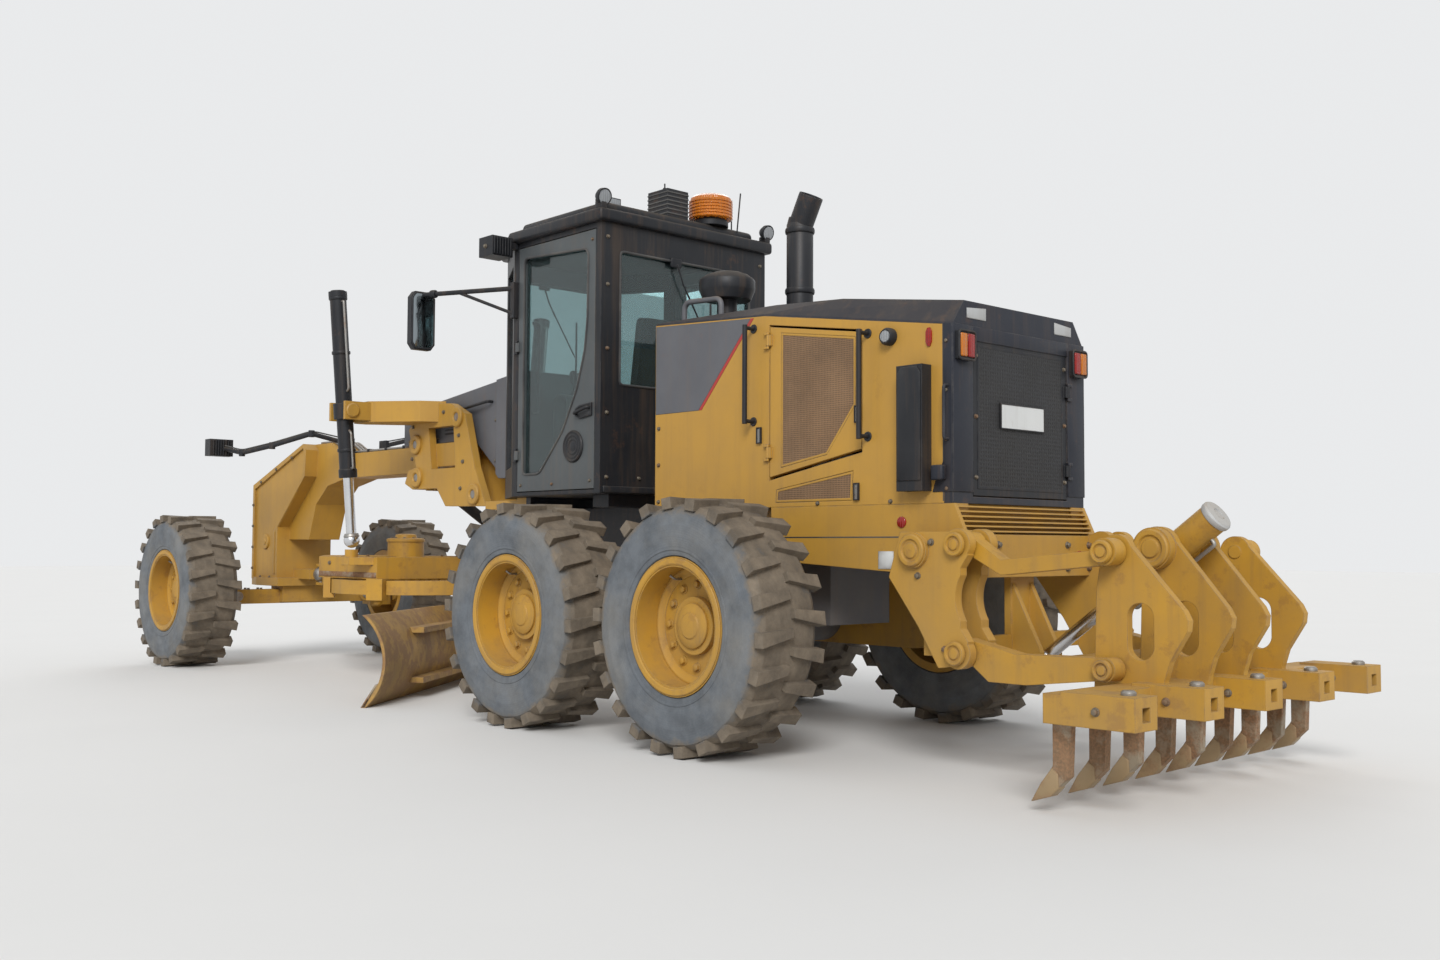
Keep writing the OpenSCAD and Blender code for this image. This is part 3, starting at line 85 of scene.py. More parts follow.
def outline_spot(plane: Plane, a: float, b: float, depth: float) -> Vector:
    """Place one point of an outline.

    Args:
        plane: the plane that the outline lies in.
        a: the outline's first value.
        b: the outline's second value.
        depth: the place along the plane's own axis.

    Returns:
        The point in the frame.
    """
    if plane is Plane.XZ:
        return placed((a, depth, b))
    if plane is Plane.YZ:
        return placed((depth, a, b))
    return placed((a, b, depth))


def turned_to(way: Sequence[float]) -> Matrix:
    """Give the turn that brings the Z axis to a direction."""
    return Vector((0, 0, 1)).rotation_difference(Vector(way).normalized()).to_matrix().to_4x4()


class Bench:
    """The bench tools. Each makes one closed mesh whose place is in its vertices."""

    @staticmethod
    def clear() -> None:
        """Leave edit mode with nothing selected."""
        if bpy.context.mode != "OBJECT":
            bpy.ops.object.mode_set(mode="OBJECT")
        bpy.ops.object.select_all(action="DESELECT")

    @staticmethod
    def hold(pieces: Iterable[bpy.types.Object]) -> None:
        """Select these pieces alone, the first one active.

        Args:
            pieces: the pieces to select.
        """
        Bench.clear()
        held = list(pieces)
        for piece in held:
            piece.select_set(True)
        bpy.context.view_layer.objects.active = held[0]

    @staticmethod
    def open(piece: bpy.types.Object) -> None:
        """Enter edit mode on a piece with everything selected.

        Args:
            piece: the piece to edit.
        """
        Bench.hold([piece])
        bpy.ops.object.mode_set(mode="EDIT")
        bpy.ops.mesh.select_all(action="SELECT")

    @staticmethod
    def close(piece: bpy.types.Object, name: str, angle: float = 35.0) -> bpy.types.Object:
        """Leave edit mode, fix the piece's place into its mesh and smooth its soft edges.

        Args:
            piece: the piece that was edited.
            name: the piece's name.
            angle: edges flatter than this many degrees are shaded smooth.

        Returns:
            The finished piece.
        """
        Bench.hold([piece])
        bpy.ops.object.transform_apply(location=True, rotation=True, scale=True)
        bpy.ops.object.mode_set(mode="EDIT")
        bpy.ops.mesh.select_all(action="SELECT")
        bpy.ops.mesh.normals_make_consistent(inside=False)
        bpy.ops.object.mode_set(mode="OBJECT")
        bpy.ops.object.shade_smooth_by_angle(angle=math.radians(angle))
        piece.name = name
        piece.data.name = name
        return piece

    @staticmethod
    def break_edges(width: float, segments: int = 2) -> None:
        """Round the sharp edges of the mesh in edit mode.

        Args:
            width: how far the rounding reaches from the edge.
            segments: the steps across the rounding.
        """
        if width <= 0:
            return
        bpy.ops.mesh.select_mode(type="EDGE")
        bpy.ops.mesh.select_all(action="DESELECT")
        bpy.ops.mesh.edges_select_sharp(sharpness=SHARP_ANGLE)
        bpy.ops.mesh.bevel(offset=width, segments=segments, affect="EDGES", clamp_overlap=True)
        bpy.ops.mesh.select_mode(type="FACE")
        bpy.ops.mesh.select_all(action="SELECT")

    @staticmethod
    def faces_towards(piece: bpy.types.Object, way: Vector) -> None:
        """Select the faces of a piece in edit mode that look one way.

        Args:
            piece: the piece in edit mode.
            way: the direction to look for.
        """
        bpy.ops.mesh.select_mode(type="FACE")
        bpy.ops.mesh.select_all(action="DESELECT")
        bpy.ops.object.mode_set(mode="OBJECT")
        turn = piece.matrix_world.to_3x3()
        for polygon in piece.data.polygons:
            polygon.select = (turn @ polygon.normal).normalized().dot(way) > FACING
        bpy.ops.object.mode_set(mode="EDIT")

    @staticmethod
    def block(name: str, low: Point, high: Point, edge: float, segments: int) -> bpy.types.Object:
        """Make a box between two corners with rounded edges.

        Args:
            name: the piece's name.
            low: the lowest corner on the machine's axes.
            high: the highest corner on the machine's axes.
            edge: the width of the rounded edges.
            segments: the steps across the rounding.

        Returns:
            The box.
        """
        Bench.clear()
        a, b = placed(low), placed(high)
        bpy.ops.mesh.primitive_cube_add(size=1, location=(a + b) / 2)
        piece = bpy.context.object
        piece.scale = b - a
        bpy.ops.object.transform_apply(location=True, rotation=True, scale=True)
        Bench.open(piece)
        Bench.break_edges(edge, segments)
        return Bench.close(piece, name)

    @staticmethod
    def plate(
        name: str, outline: Sequence[Pair], plane: Plane, low: float, high: float, edge: float = 0.0,
        segments: int = 2,
    ) -> bpy.types.Object:
        """Pull a flat outline to a plate.

        Args:
            name: the piece's name.
            outline: the outline's points in the plane.
            plane: the plane of the outline.
            low: where the plate starts along the plane's axis.
            high: where it ends.
            edge: the width of the rounded edges.
            segments: the steps across the rounding.

        Returns:
            The plate.
        """
        Bench.clear()
        bpy.ops.mesh.primitive_circle_add(vertices=len(outline), fill_type="NGON")
        piece = bpy.context.object
        for vertex, (a, b) in zip(piece.data.vertices, outline):
            vertex.co = outline_spot(plane, a, b, low)
        Bench.open(piece)
        pull = plane.value * (high - low)
        bpy.ops.mesh.extrude_region_move(TRANSFORM_OT_translate={"value": pull})
        bpy.ops.mesh.select_all(action="SELECT")
        bpy.ops.mesh.normals_make_consistent(inside=False)
        Bench.break_edges(edge, segments)
        return Bench.close(piece, name)

    @staticmethod
    def framed_plate(
        name: str, outline: Sequence[Pair], plane: Plane, low: float, high: float, way: Vector,
        border: float, sunk: float,
    ) -> bpy.types.Object:
        """Make a plate with a sunk field inside its border; the field takes the second material slot.

        Args:
            name: the piece's name.
            outline: the outline's points in the plane.
            plane: the plane of the outline.
            low: where the plate starts along the plane's axis.
            high: where it ends.
            way: the direction in which the field looks.
            border: the width of the border.
            sunk: how deep the field lies below it.

        Returns:
            The plate.
        """
        piece = Bench.plate(name, outline, plane, low, high)
        Bench.open(piece)
        Bench.faces_towards(piece, way)
        bpy.ops.mesh.inset(thickness=border, depth=0)
        bpy.ops.mesh.extrude_region_move(TRANSFORM_OT_translate={"value": -way * sunk})
        bpy.ops.object.mode_set(mode="OBJECT")
        for polygon in piece.data.polygons:
            if polygon.select:
                polygon.material_index = 1
        return Bench.close(piece, name)

    @staticmethod
    def turned(
        name: str, section: Sequence[Pair], foot: Point, along: Sequence[float], steps: int = 40,
        local: bool = False,
    ) -> bpy.types.Object:
        """Spin a section about an axis.

        Args:
            name: the piece's name.
            section: the section's loop as radius and height; a loop that meets the axis ends on it.
            foot: the place of height 0 on the machine's axes.
            along: the direction of the axis.
            steps: the steps of the spin.
            local: foot is already a place in the frame.

        Returns:
            The turned piece.
        """
        Bench.clear()
        bpy.ops.mesh.primitive_circle_add(vertices=len(section), fill_type="NOTHING")
        piece = bpy.context.object
        for vertex, (radius, height) in zip(piece.data.vertices, section):
            vertex.co = (radius, 0, height)
        Bench.open(piece)
        bpy.ops.mesh.spin(steps=steps, angle=math.tau, center=(0, 0, 0), axis=(0, 0, 1))
        bpy.ops.mesh.select_all(action="SELECT")
        bpy.ops.mesh.remove_doubles(threshold=WELD)
        bpy.ops.mesh.delete_loose(use_verts=True, use_edges=True, use_faces=False)
        bpy.ops.object.mode_set(mode="OBJECT")
        where = Vector(foot) if local else placed(foot)
        piece.matrix_world = Matrix.Translation(where) @ turned_to(along)
        return Bench.close(piece, name)

    @staticmethod
    def rounded_route(route: Sequence[Sequence[float]], bend: float, loop: bool) -> list[Vector]:
        """Round the corners of a route.

        Args:
            route: the route's corners in the frame.
            bend: how far from a corner its bend starts.
            loop: the route returns to its start.

        Returns:
            The points of the smooth route.
        """
        corners = [Vector(p) for p in route]
        count = len(corners)
        path: list[Vector] = []
        for i, corner in enumerate(corners):
            if not loop and i in (0, count - 1):
                path.append(corner)
                continue
            before, after = corners[i - 1], corners[(i + 1) % count]
            reach = min(bend, (before - corner).length * 0.45, (after - corner).length * 0.45)
            start = corner + (before - corner).normalized() * reach
            end = corner + (after - corner).normalized() * reach
            for k in range(BEND_STEPS + 1):
                t = k / BEND_STEPS
                path.append(start * (1 - t) ** 2 + corner * 2 * t * (1 - t) + end * t ** 2)
        return path

    @staticmethod
    def tube(
        name: str, route: Sequence[Point], radius: float, bend: float = 0.05, loop: bool = False,
    ) -> bpy.types.Object:
        """Make a round tube or bar along a route.

        Args:
            name: the piece's name.
            route: the corners of the route on the machine's axes.
            radius: the tube's radius.
            bend: how far from a corner its bend starts.
            loop: the route returns to its start.

        Returns:
            The tube as a mesh.
        """
        Bench.clear()
        bpy.ops.curve.primitive_nurbs_path_add()
        piece = bpy.context.object
        curve = piece.data
        curve.splines.clear()
        path = Bench.rounded_route([placed(p) for p in route], bend, loop)
        spline = curve.splines.new("POLY")
        spline.points.add(len(path) - 1)
        for spot, where in zip(spline.points, path):
            spot.co = (*where, 1)
        spline.use_cyclic_u = loop
        curve.dimensions = "3D"
        curve.bevel_depth = radius
        curve.bevel_resolution = TUBE_FINENESS
        curve.use_fill_caps = not loop
        bpy.ops.object.convert(target="MESH")
        piece = bpy.context.object
        Bench.open(piece)
        bpy.ops.mesh.remove_doubles(threshold=WELD)
        return Bench.close(piece, name, 50)

    @staticmethod
    def repeated(
        name: str, pattern: bpy.types.Object, places: Sequence[Matrix]
    ) -> bpy.types.Object:
        """Copy a finished piece with its own mesh to each place and join the copies.

        Args:
            name: the joined piece's name.
            pattern: the piece to copy, which is used up.
            places: where each copy goes, in the frame.

        Returns:
            The joined piece.
        """
        twins = []
        for place in places:
            twin = pattern.copy()
            twin.data = pattern.data.copy()
            bpy.context.collection.objects.link(twin)
            twin.matrix_world = place
            twins.append(twin)
        bpy.data.objects.remove(pattern)
        return Bench.joined(name, twins)

    @staticmethod
    def around(name: str, pattern: bpy.types.Object, middle: Point, axis: str, count: int) -> bpy.types.Object:
        """Repeat a piece that was made at the frame's origin in a ring.

        Args:
            name: the joined piece's name.
            pattern: the piece to copy, which is used up.
            middle: the ring's middle on the machine's axes.
            axis: the ring's axis, X or Z.
            count: the number of copies.

        Returns:
            The joined piece.
        """
        shift = Matrix.Translation(placed(middle))
        turns = [shift @ Matrix.Rotation(math.tau * k / count, 4, axis) for k in range(count)]
        return Bench.repeated(name, pattern, turns)

    @staticmethod
    def joined(name: str, pieces: Sequence[bpy.types.Object]) -> bpy.types.Object:
        """Join pieces into one mesh.

        Args:
            name: the joined piece's name.
            pieces: the pieces to join.

        Returns:
            The joined piece.
        """
        Bench.hold(pieces)
        if len(pieces) > 1:
            bpy.ops.object.join()
        piece = bpy.context.view_layer.objects.active
        Bench.hold([piece])
        bpy.ops.object.transform_apply(location=True, rotation=True, scale=True)
        piece.name = name
        piece.data.name = name
        return piece

    @staticmethod
    def bolts(
        name: str, size: float, places: Sequence[Point], facing: Sequence[float]
    ) -> bpy.types.Object:
        """Make a row of hexagon heads on washers.

        Args:
            name: the piece's name.
            size: a head's radius.
            places: the foot of each head on the machine's axes.
            facing: the direction in which the heads look.

        Returns:
            All heads as one mesh.
        """
        Bench.clear()
        bpy.ops.mesh.primitive_cylinder_add(vertices=6, radius=size, depth=size * 0.9)
        head = bpy.context.object
        head.location = (0, 0, size * 0.62)
        Bench.open(head)
        Bench.faces_towards(head, Vector((0, 0, 1)))
        bpy.ops.mesh.inset(thickness=size * 0.12, depth=size * 0.08)
        washer = Bench.turned(
            "washer", [(0, 0), (size * 1.35, 0), (size * 1.3, size * 0.2), (0, size * 0.2)],
            (0, 0, 0), (0, 0, 1), 16, local=True)
        Bench.close(head, "head")
        pattern = Bench.joined("bolt", [head, washer])
        turn = turned_to(facing)
        return Bench.repeated(name, pattern, [Matrix.Translation(placed(p)) @ turn for p in places])


# Finishes


def shaded(colour: Colour, *shares: float) -> Colour:
    """Scale a colour by one share, or by one share for each channel."""
    return tuple(part * share for part, share in zip(colour, shares * 3))


class NodeDesk:
    """Adds nodes to one node tree and joins them."""

    def __init__(self, tree: bpy.types.NodeTree) -> None:
        """Take the tree that the nodes go into."""
        self.tree = tree

    def put(self, kind: str, inputs: dict | None = None, **settings: object) -> bpy.types.Node:
        """Add a node.

        Args:
            kind: Blender's name of the node's type.
            inputs: values or outputs for its sockets, by name or number.
            settings: the node's own settings.

        Returns:
            The new node.
        """
        node = self.tree.nodes.new(kind)
        for key, value in settings.items():
            setattr(node, key, value)
        for key, value in (inputs or {}).items():
            if isinstance(value, bpy.types.NodeSocket):
                self.tree.links.new(value, node.inputs[key])
            else:
                node.inputs[key].default_value = value
        return node

    def place(self) -> bpy.types.NodeSocket:
        """Give the place on the object."""
        return self.put("ShaderNodeTexCoord").outputs["Object"]

    def axes(self, value: bpy.types.NodeSocket) -> Sockets:
        """Part a vector into the outputs X, Y and Z."""
        return self.put("ShaderNodeSeparateXYZ", {0: value}).outputs

    def sum(self, operation: str, a: object, b: object = 0.0, clamp: bool = False) -> bpy.types.NodeSocket:
        """Do a sum with a Math node; clamp keeps the result between 0 and 1."""
        return self.put("ShaderNodeMath", {0: a, 1: b}, operation=operation, use_clamp=clamp).outputs[0]

    def times(self, a: object, b: object, clamp: bool = False) -> bpy.types.NodeSocket:
        """Multiply two values."""
        return self.sum("MULTIPLY", a, b, clamp)

    def span(self, value: object, low: float, high: float, to: Pair = (0.0, 1.0)) -> bpy.types.NodeSocket:
        """Map the range from low to high onto the two ends of another, and hold it there."""
        return self.put("ShaderNodeMapRange", {
            "Value": value, "From Min": low, "From Max": high, "To Min": to[0], "To Max": to[1]}).outputs["Result"]

    def noise(self, where: object, scale: float, detail: float = 4.0, rough: float = 0.55) -> bpy.types.NodeSocket:
        """Add a noise pattern of some fineness, with its layers and the weight of the finer ones."""
        return self.put("ShaderNodeTexNoise", {
            "Vector": where, "Scale": scale, "Detail": detail, "Roughness": rough}).outputs["Fac"]

    def mix(self, share: object, a: object, b: object) -> bpy.types.NodeSocket:
        """Mix two colours, given as outputs or values; the share is how much of the second shows."""
        a, b = (one if isinstance(one, bpy.types.NodeSocket) else (*one, 1) for one in (a, b))
        return self.put("ShaderNodeMix", {0: share, 6: a, 7: b}, data_type="RGBA").outputs[2]

    def relief(self, height: object, strength: float, depth: float, soft: object = None) -> bpy.types.NodeSocket:
        """Add a bump.

        Args:
            height: the output that gives the height.
            strength: how much of the relief shows.
            depth: the relief's depth in metres.
            soft: the normal with its rounded edges, if there is one.

        Returns:
            The normal.
        """
        inputs = {"Height": height, "Strength": strength, "Distance": depth}
        if soft is not None:
            inputs["Normal"] = soft
        return self.put("ShaderNodeBump", inputs).outputs[0]


def new_group(name: str, inputs: dict[str, str], outputs: dict[str, str]) -> bpy.types.NodeTree:
    """Start a node group.

    Args:
        name: the group's name.
        inputs: its inputs, each with the kind of its value.
        outputs: its outputs, in the same way.

    Returns:
        The group, without nodes.
    """
    tree = bpy.data.node_groups.new(name, "ShaderNodeTree")
    for way, sockets in (("INPUT", inputs), ("OUTPUT", outputs)):
        for label, kind in sockets.items():
            tree.interface.new_socket(label, in_out=way, socket_type=f"NodeSocket{kind}")
    return tree


def build_weather_group() -> bpy.types.NodeTree:
    """Build the masks of dust, streaks, worn edges and grain that all outdoor finishes share.

    Returns:
        The node group with the outputs Blotch, Grain, Dust, Streak, Edge and Soft Normal.
    """
    masks = dict.fromkeys(("Blotch", "Grain", "Dust", "Streak", "Edge"), "Float")
    tree = new_group("weather", {}, masks | {"Soft Normal": "Vector"})
    desk = NodeDesk(tree)
    place = desk.place()
    blotch = desk.noise(place, 2.6, 7.0, 0.62)
    grain = desk.noise(place, 85.0, 3.0)
    drawn = desk.put("ShaderNodeMapping", {"Vector": place, "Scale": (17, 17, 1.1)}).outputs[0]
    streak = desk.span(desk.noise(drawn, 1.0, 5.0, 0.6), 0.5, 0.72)
    surface = desk.put("ShaderNodeNewGeometry").outputs
    low = desk.span(desk.axes(place)["Z"], 1.25, 0.1)
    facing_up = desk.span(desk.axes(surface["Normal"])["Z"], 0.25, 0.95)
    lying = desk.times(facing_up, desk.span(blotch, 0.3, 0.62, (0.35, 1.0)))
    splashed = desk.times(low, desk.span(blotch, 0.36, 0.62, (0.15, 1.0)))
    dust = desk.sum("MAXIMUM", lying, desk.times(splashed, 0.85), clamp=True)
    soft = desk.put("ShaderNodeBevel", {"Radius": 0.007}, samples=4).outputs[0]
    same = desk.put("ShaderNodeVectorMath", {0: soft, 1: surface["True Normal"]}, operation="DOT_PRODUCT")
    turned_away = desk.span(same.outputs["Value"], 0.985, 0.9)
    edge = desk.times(turned_away, desk.span(desk.noise(place, 11.0, 5.0), 0.42, 0.6), clamp=True)
    desk.put("NodeGroupOutput", {
        "Blotch": blotch, "Grain": grain, "Dust": dust, "Streak": streak, "Edge": edge, "Soft Normal": soft})
    return tree


def build_holes_group() -> bpy.types.NodeTree:
    """Build the pattern of round holes in staggered rows that perforated sheet has.

    Returns:
        The node group with the inputs Place and Pitch and the output Hole.
    """
    tree = new_group("holes", {"Place": "Vector", "Pitch": "Float"}, {"Hole": "Float"})
    desk = NodeDesk(tree)
    given = desk.put("NodeGroupInput").outputs
    parts = desk.axes(given["Place"])
    turn = desk.sum("DIVIDE", math.tau, given["Pitch"])
    across = desk.sum("SINE", desk.times(desk.sum("ADD", parts["X"], parts["Y"]), turn))
    up = desk.sum("SINE", desk.times(parts["Z"], turn))
    desk.put("NodeGroupOutput", {"Hole": desk.span(desk.sum("ADD", across, up), 0.25, 0.75)})
    return tree


WEATHER = build_weather_group()
HOLES = build_holes_group()


@dataclass(frozen=True)
class Finish:
    """A finish with a name and its slot in the record; each kind below mixes its own coat."""

    label: str
    slot: str = field(default="yellow_paint", kw_only=True)

    def material(self) -> bpy.types.Material:
        """Give the finish's material, which is built once.

        Returns:
            The material.
        """
        known = bpy.data.materials.get(self.label)
        if known is not None:
            return known
        made = bpy.data.materials.new(self.label)
        made.use_nodes = True
        made.node_tree.nodes.clear()
        desk = NodeDesk(made.node_tree)
        masks = desk.put("ShaderNodeGroup", node_tree=WEATHER).outputs
        shader = desk.put("ShaderNodeBsdfPrincipled", self.coat(desk, masks))
        desk.put("ShaderNodeOutputMaterial", {"Surface": shader.outputs[0]})
        return made

    def coat(self, desk: NodeDesk, masks: Sockets) -> dict[str, object]:
        """Mix the finish's colour, roughness and relief.

        Args:
            desk: the material's desk.
            masks: the weather masks.

        Returns:
            What the shader's sockets take.
        """
        raise NotImplementedError


@dataclass(frozen=True)
class PaintFinish(Finish):
    """Machine paint with dust, streaks, chips on the edges and rust."""

    colour: Colour
    faded: Colour
    dust: Colour = (0.30, 0.215, 0.115)
    dusty: float = 0.6
    chipped: Colour = (0.16, 0.12, 0.09)
    chips: float = 0.7
    rust: float = 0.0
    gloss: float = 0.42
    shine: float = 0.42
    dark_behind: float | None = None

    def coat(self, desk: NodeDesk, masks: Sockets) -> dict[str, object]:
        """Mix paint, dust, chips and rust.

        Args:
            desk: the material's desk.
            masks: the weather masks.

        Returns:
            What the shader's sockets take.
        """
        place = desk.place()
        coat = desk.mix(desk.span(masks["Blotch"], 0.3, 0.7), self.colour, self.faded)
        if self.dark_behind is not None:
            behind = desk.sum("LESS_THAN", desk.axes(place)["X"], self.dark_behind - FRAME_X)
            coat = desk.mix(behind, coat, (0.016, 0.018, 0.026))
        coat = desk.mix(desk.times(masks["Streak"], 0.16 + self.rust * 0.5), coat, shaded(self.dust, 0.62, 0.52, 0.5))
        spots = desk.span(desk.noise(place, 7.5, 8.0, 0.72), 0.60 - 0.18 * self.rust, 0.66 - 0.16 * self.rust)
        coat = desk.mix(desk.times(spots, 0.12 + self.rust * 0.75), coat, (0.19, 0.085, 0.035))
        coat = desk.mix(desk.times(masks["Edge"], self.chips), coat, self.chipped)
        rough = desk.span(masks["Dust"], 0, 1, (self.gloss, 0.82))
        return {
            "Base Color": desk.mix(desk.times(masks["Dust"], self.dusty), coat, self.dust),
            "Roughness": desk.sum("ADD", rough, desk.times(masks["Grain"], 0.1), clamp=True),
            "Specular IOR Level": self.shine,
            "Normal": desk.relief(masks["Grain"], 0.12, 0.0015, masks["Soft Normal"])}


@dataclass(frozen=True)
class RubberFinish(Finish):
    """Tyre rubber: worn blue-grey sidewalls and brown dust on the tread, told apart by radius."""

    wheel_x: float
    wheel_z: float = 0.665
    side: Colour = (0.088, 0.097, 0.107)
    tread: Colour = (0.105, 0.085, 0.063)
    slot: str = field(default="tyre", kw_only=True)

    def coat(self, desk: NodeDesk, masks: Sockets) -> dict[str, object]:
        """Mix rubber, dust by radius and the sidewall's fine rings.

        Args:
            desk: the material's desk.
            masks: the weather masks.

        Returns:
            What the shader's sockets take.
        """
        place = desk.place()
        parts = desk.axes(place)
        dx = desk.sum("SUBTRACT", parts["X"], self.wheel_x - FRAME_X)
        dz = desk.sum("SUBTRACT", parts["Z"], self.wheel_z)
        radius = desk.sum("SQRT", desk.sum("ADD", desk.times(dx, dx), desk.times(dz, dz)))
        mottled = desk.noise(place, 9.0, 6.0, 0.65)
        outer = desk.span(desk.sum("ADD", radius, desk.span(mottled, 0.3, 0.7, (-0.03, 0.03))), 0.575, 0.612)
        worn = desk.mix(desk.span(mottled, 0.35, 0.65), self.side, shaded(self.side, 1.5))
        powdered = desk.mix(desk.span(masks["Blotch"], 0.42, 0.68, (0.0, 0.32)), worn, (0.30, 0.27, 0.22))
        lugs = desk.mix(desk.span(mottled, 0.35, 0.7), self.tread, (0.20, 0.16, 0.115))
        rings = desk.sum("SINE", desk.times(radius, 520.0))
        height = desk.sum("ADD", desk.times(rings, 0.12), masks["Grain"])
        return {
            "Base Color": desk.mix(outer, powdered, lugs),
            "Roughness": desk.span(masks["Grain"], 0.3, 0.7, (0.72, 0.92)),
            "Normal": desk.relief(height, 0.35, 0.003, masks["Soft Normal"])}


@dataclass(frozen=True)
class MetalFinish(Finish):
    """Bare metal: polished rods, or steel that is worn bright and rusty."""

    colour: Colour
    rusty: Colour = (0.17, 0.09, 0.045)
    rust: float = 0.0
    polish: float = 0.2
    shine: float = 1.0
    slot: str = field(default="worn_steel", kw_only=True)

    def coat(self, desk: NodeDesk, masks: Sockets) -> dict[str, object]:
        """Mix metal, scratches and rust.

        Args:
            desk: the material's desk.
            masks: the weather masks.

        Returns:
            What the shader's sockets take.
        """
        place = desk.place()
        drawn = desk.put("ShaderNodeMapping", {"Vector": place, "Scale": (260, 260, 18)}).outputs[0]
        scratched = desk.noise(drawn, 1.0, 3.0)
        patches = desk.span(desk.noise(place, 6.0, 8.0, 0.7), 0.62 - 0.3 * self.rust, 0.72 - 0.26 * self.rust)
        share = desk.times(patches, min(1.0, self.rust * 1.2 + 0.04))
        bare = desk.mix(desk.span(masks["Blotch"], 0.3, 0.7), self.colour, shaded(self.colour, 0.82))
        oxide = desk.mix(desk.span(masks["Grain"], 0.35, 0.65), self.rusty, shaded(self.rusty, 1.9, 1.8, 1.7))
        dusted = desk.times(masks["Dust"], 0.15 + self.rust * 0.35)
        worn = desk.span(share, 0, 1, (self.polish, 0.75))
        return {
            "Base Color": desk.mix(dusted, desk.mix(share, bare, oxide), (0.33, 0.26, 0.17)),
            "Metallic": self.shine,
            "Roughness": desk.sum("ADD", desk.times(scratched, 0.12), worn, clamp=True),
            "Normal": desk.relief(masks["Grain"], 0.1 + 0.3 * self.rust, 0.002, masks["Soft Normal"])}


@dataclass(frozen=True)
class GlassFinish(Finish):
    """Tinted pane glass with a thin film of dust."""

    colour: Colour
    clear: float = 0.82
    slot: str = field(default="glass", kw_only=True)

    def coat(self, desk: NodeDesk, masks: Sockets) -> dict[str, object]:
        """Mix the tint and the film.

        Args:
            desk: the material's desk.
            masks: the weather masks.

        Returns:
            What the shader's sockets take.
        """
        film = desk.times(desk.span(masks["Blotch"], 0.38, 0.7), 0.10)
        return {
            "Base Color": desk.mix(film, self.colour, (0.52, 0.5, 0.44)),
            "Roughness": desk.span(masks["Blotch"], 0.4, 0.75, (0.0, 0.03)),
            "Metallic": 0.0, "Transmission Weight": self.clear, "IOR": 1.45}


@dataclass(frozen=True)
class LensFinish(Finish):
    """Ribbed lamp lens."""

    colour: Colour
    clear: float = 0.35
    ribs: float = 420.0
    slot: str = field(default="amber", kw_only=True)

    def coat(self, desk: NodeDesk, masks: Sockets) -> dict[str, object]:
        """Mix the lens's colour and ribs.

        Args:
            desk: the material's desk.
            masks: the weather masks.

        Returns:
            What the shader's sockets take.
        """
        parts = desk.axes(desk.place())
        ribs = desk.sum("SINE", desk.times(desk.sum("ADD", parts["X"], parts["Y"]), self.ribs))
        coat = desk.mix(desk.span(ribs, -1, 1, (0.0, 0.6)), self.colour, shaded(self.colour, 0.6))
        return {
            "Base Color": desk.mix(desk.times(masks["Dust"], 0.3), coat, (0.42, 0.36, 0.26)),
            "Roughness": desk.span(masks["Blotch"], 0.3, 0.7, (0.08, 0.22)),
            "Metallic": 0.0, "Transmission Weight": self.clear,
            "Normal": desk.relief(ribs, 0.4, 0.002)}


@dataclass(frozen=True)
class SheetFinish(Finish):
    """Perforated sheet of painted or rusty-brown steel, whose holes are painted shade: near black, for the dark seen
    through them.
    """

    colour: Colour
    hole_shade: Colour = (0.012, 0.011, 0.01)
    pitch: float = 0.014
    dusty: float = 0.5
    slot: str = field(default="mesh", kw_only=True)

    def coat(self, desk: NodeDesk, masks: Sockets) -> dict[str, object]:
        """Mix the sheet, the painted shade of its holes and its dust.

        Args:
            desk: the material's desk.
            masks: the weather masks.

        Returns:
            What the shader's sockets take.
        """
        place = desk.place()
        holes = desk.put("ShaderNodeGroup", {"Place": place, "Pitch": self.pitch}, node_tree=HOLES).outputs[0]
        patchy = desk.span(desk.noise(place, 4.0, 6.0, 0.65), 0.35, 0.7)
        coat = desk.mix(patchy, self.colour, shaded(self.colour, 0.6, 0.58, 0.55))
        dusted = desk.mix(desk.times(masks["Blotch"], self.dusty), coat, (0.30, 0.22, 0.13))
        return {
            # The holes are not cut: their near-black colour is painted shade for the dark behind them.
            "Base Color": desk.mix(desk.times(holes, 0.66), dusted, self.hole_shade),
            "Roughness": desk.span(masks["Grain"], 0.3, 0.7, (0.5, 0.8)),
            "Normal": desk.relief(desk.sum("SUBTRACT", 1.0, holes), 0.5, 0.003)}


@dataclass(frozen=True)
class WeaveFinish(Finish):
    """Seat cover or moulded plastic with a fine woven or pebbled grain."""

    colour: Colour
    thread: float = 900.0
    rough: float = 0.8
    slot: str = field(default="seat", kw_only=True)

    def coat(self, desk: NodeDesk, masks: Sockets) -> dict[str, object]:
        """Mix the cover's threads and wear.

        Args:
            desk: the material's desk.
            masks: the weather masks.

        Returns:
            What the shader's sockets take.
        """
        parts = desk.axes(desk.place())
        warp = desk.sum("SINE", desk.times(desk.sum("ADD", parts["X"], parts["Z"]), self.thread))
        weft = desk.sum("SINE", desk.times(parts["Y"], self.thread))
        cloth = desk.span(desk.times(warp, weft), -1, 1)
        coat = desk.mix(desk.times(cloth, 0.55), self.colour, shaded(self.colour, 1.7))
        return {
            "Base Color": desk.mix(desk.span(masks["Blotch"], 0.4, 0.7, (0.0, 0.35)), coat, (0.22, 0.2, 0.17)),
            "Roughness": desk.span(cloth, 0, 1, (self.rough - 0.08, self.rough + 0.08)),
            "Sheen Weight": 0.15,
            "Normal": desk.relief(cloth, 0.3, 0.001)}


Coat = Finish | tuple[Finish, ...]


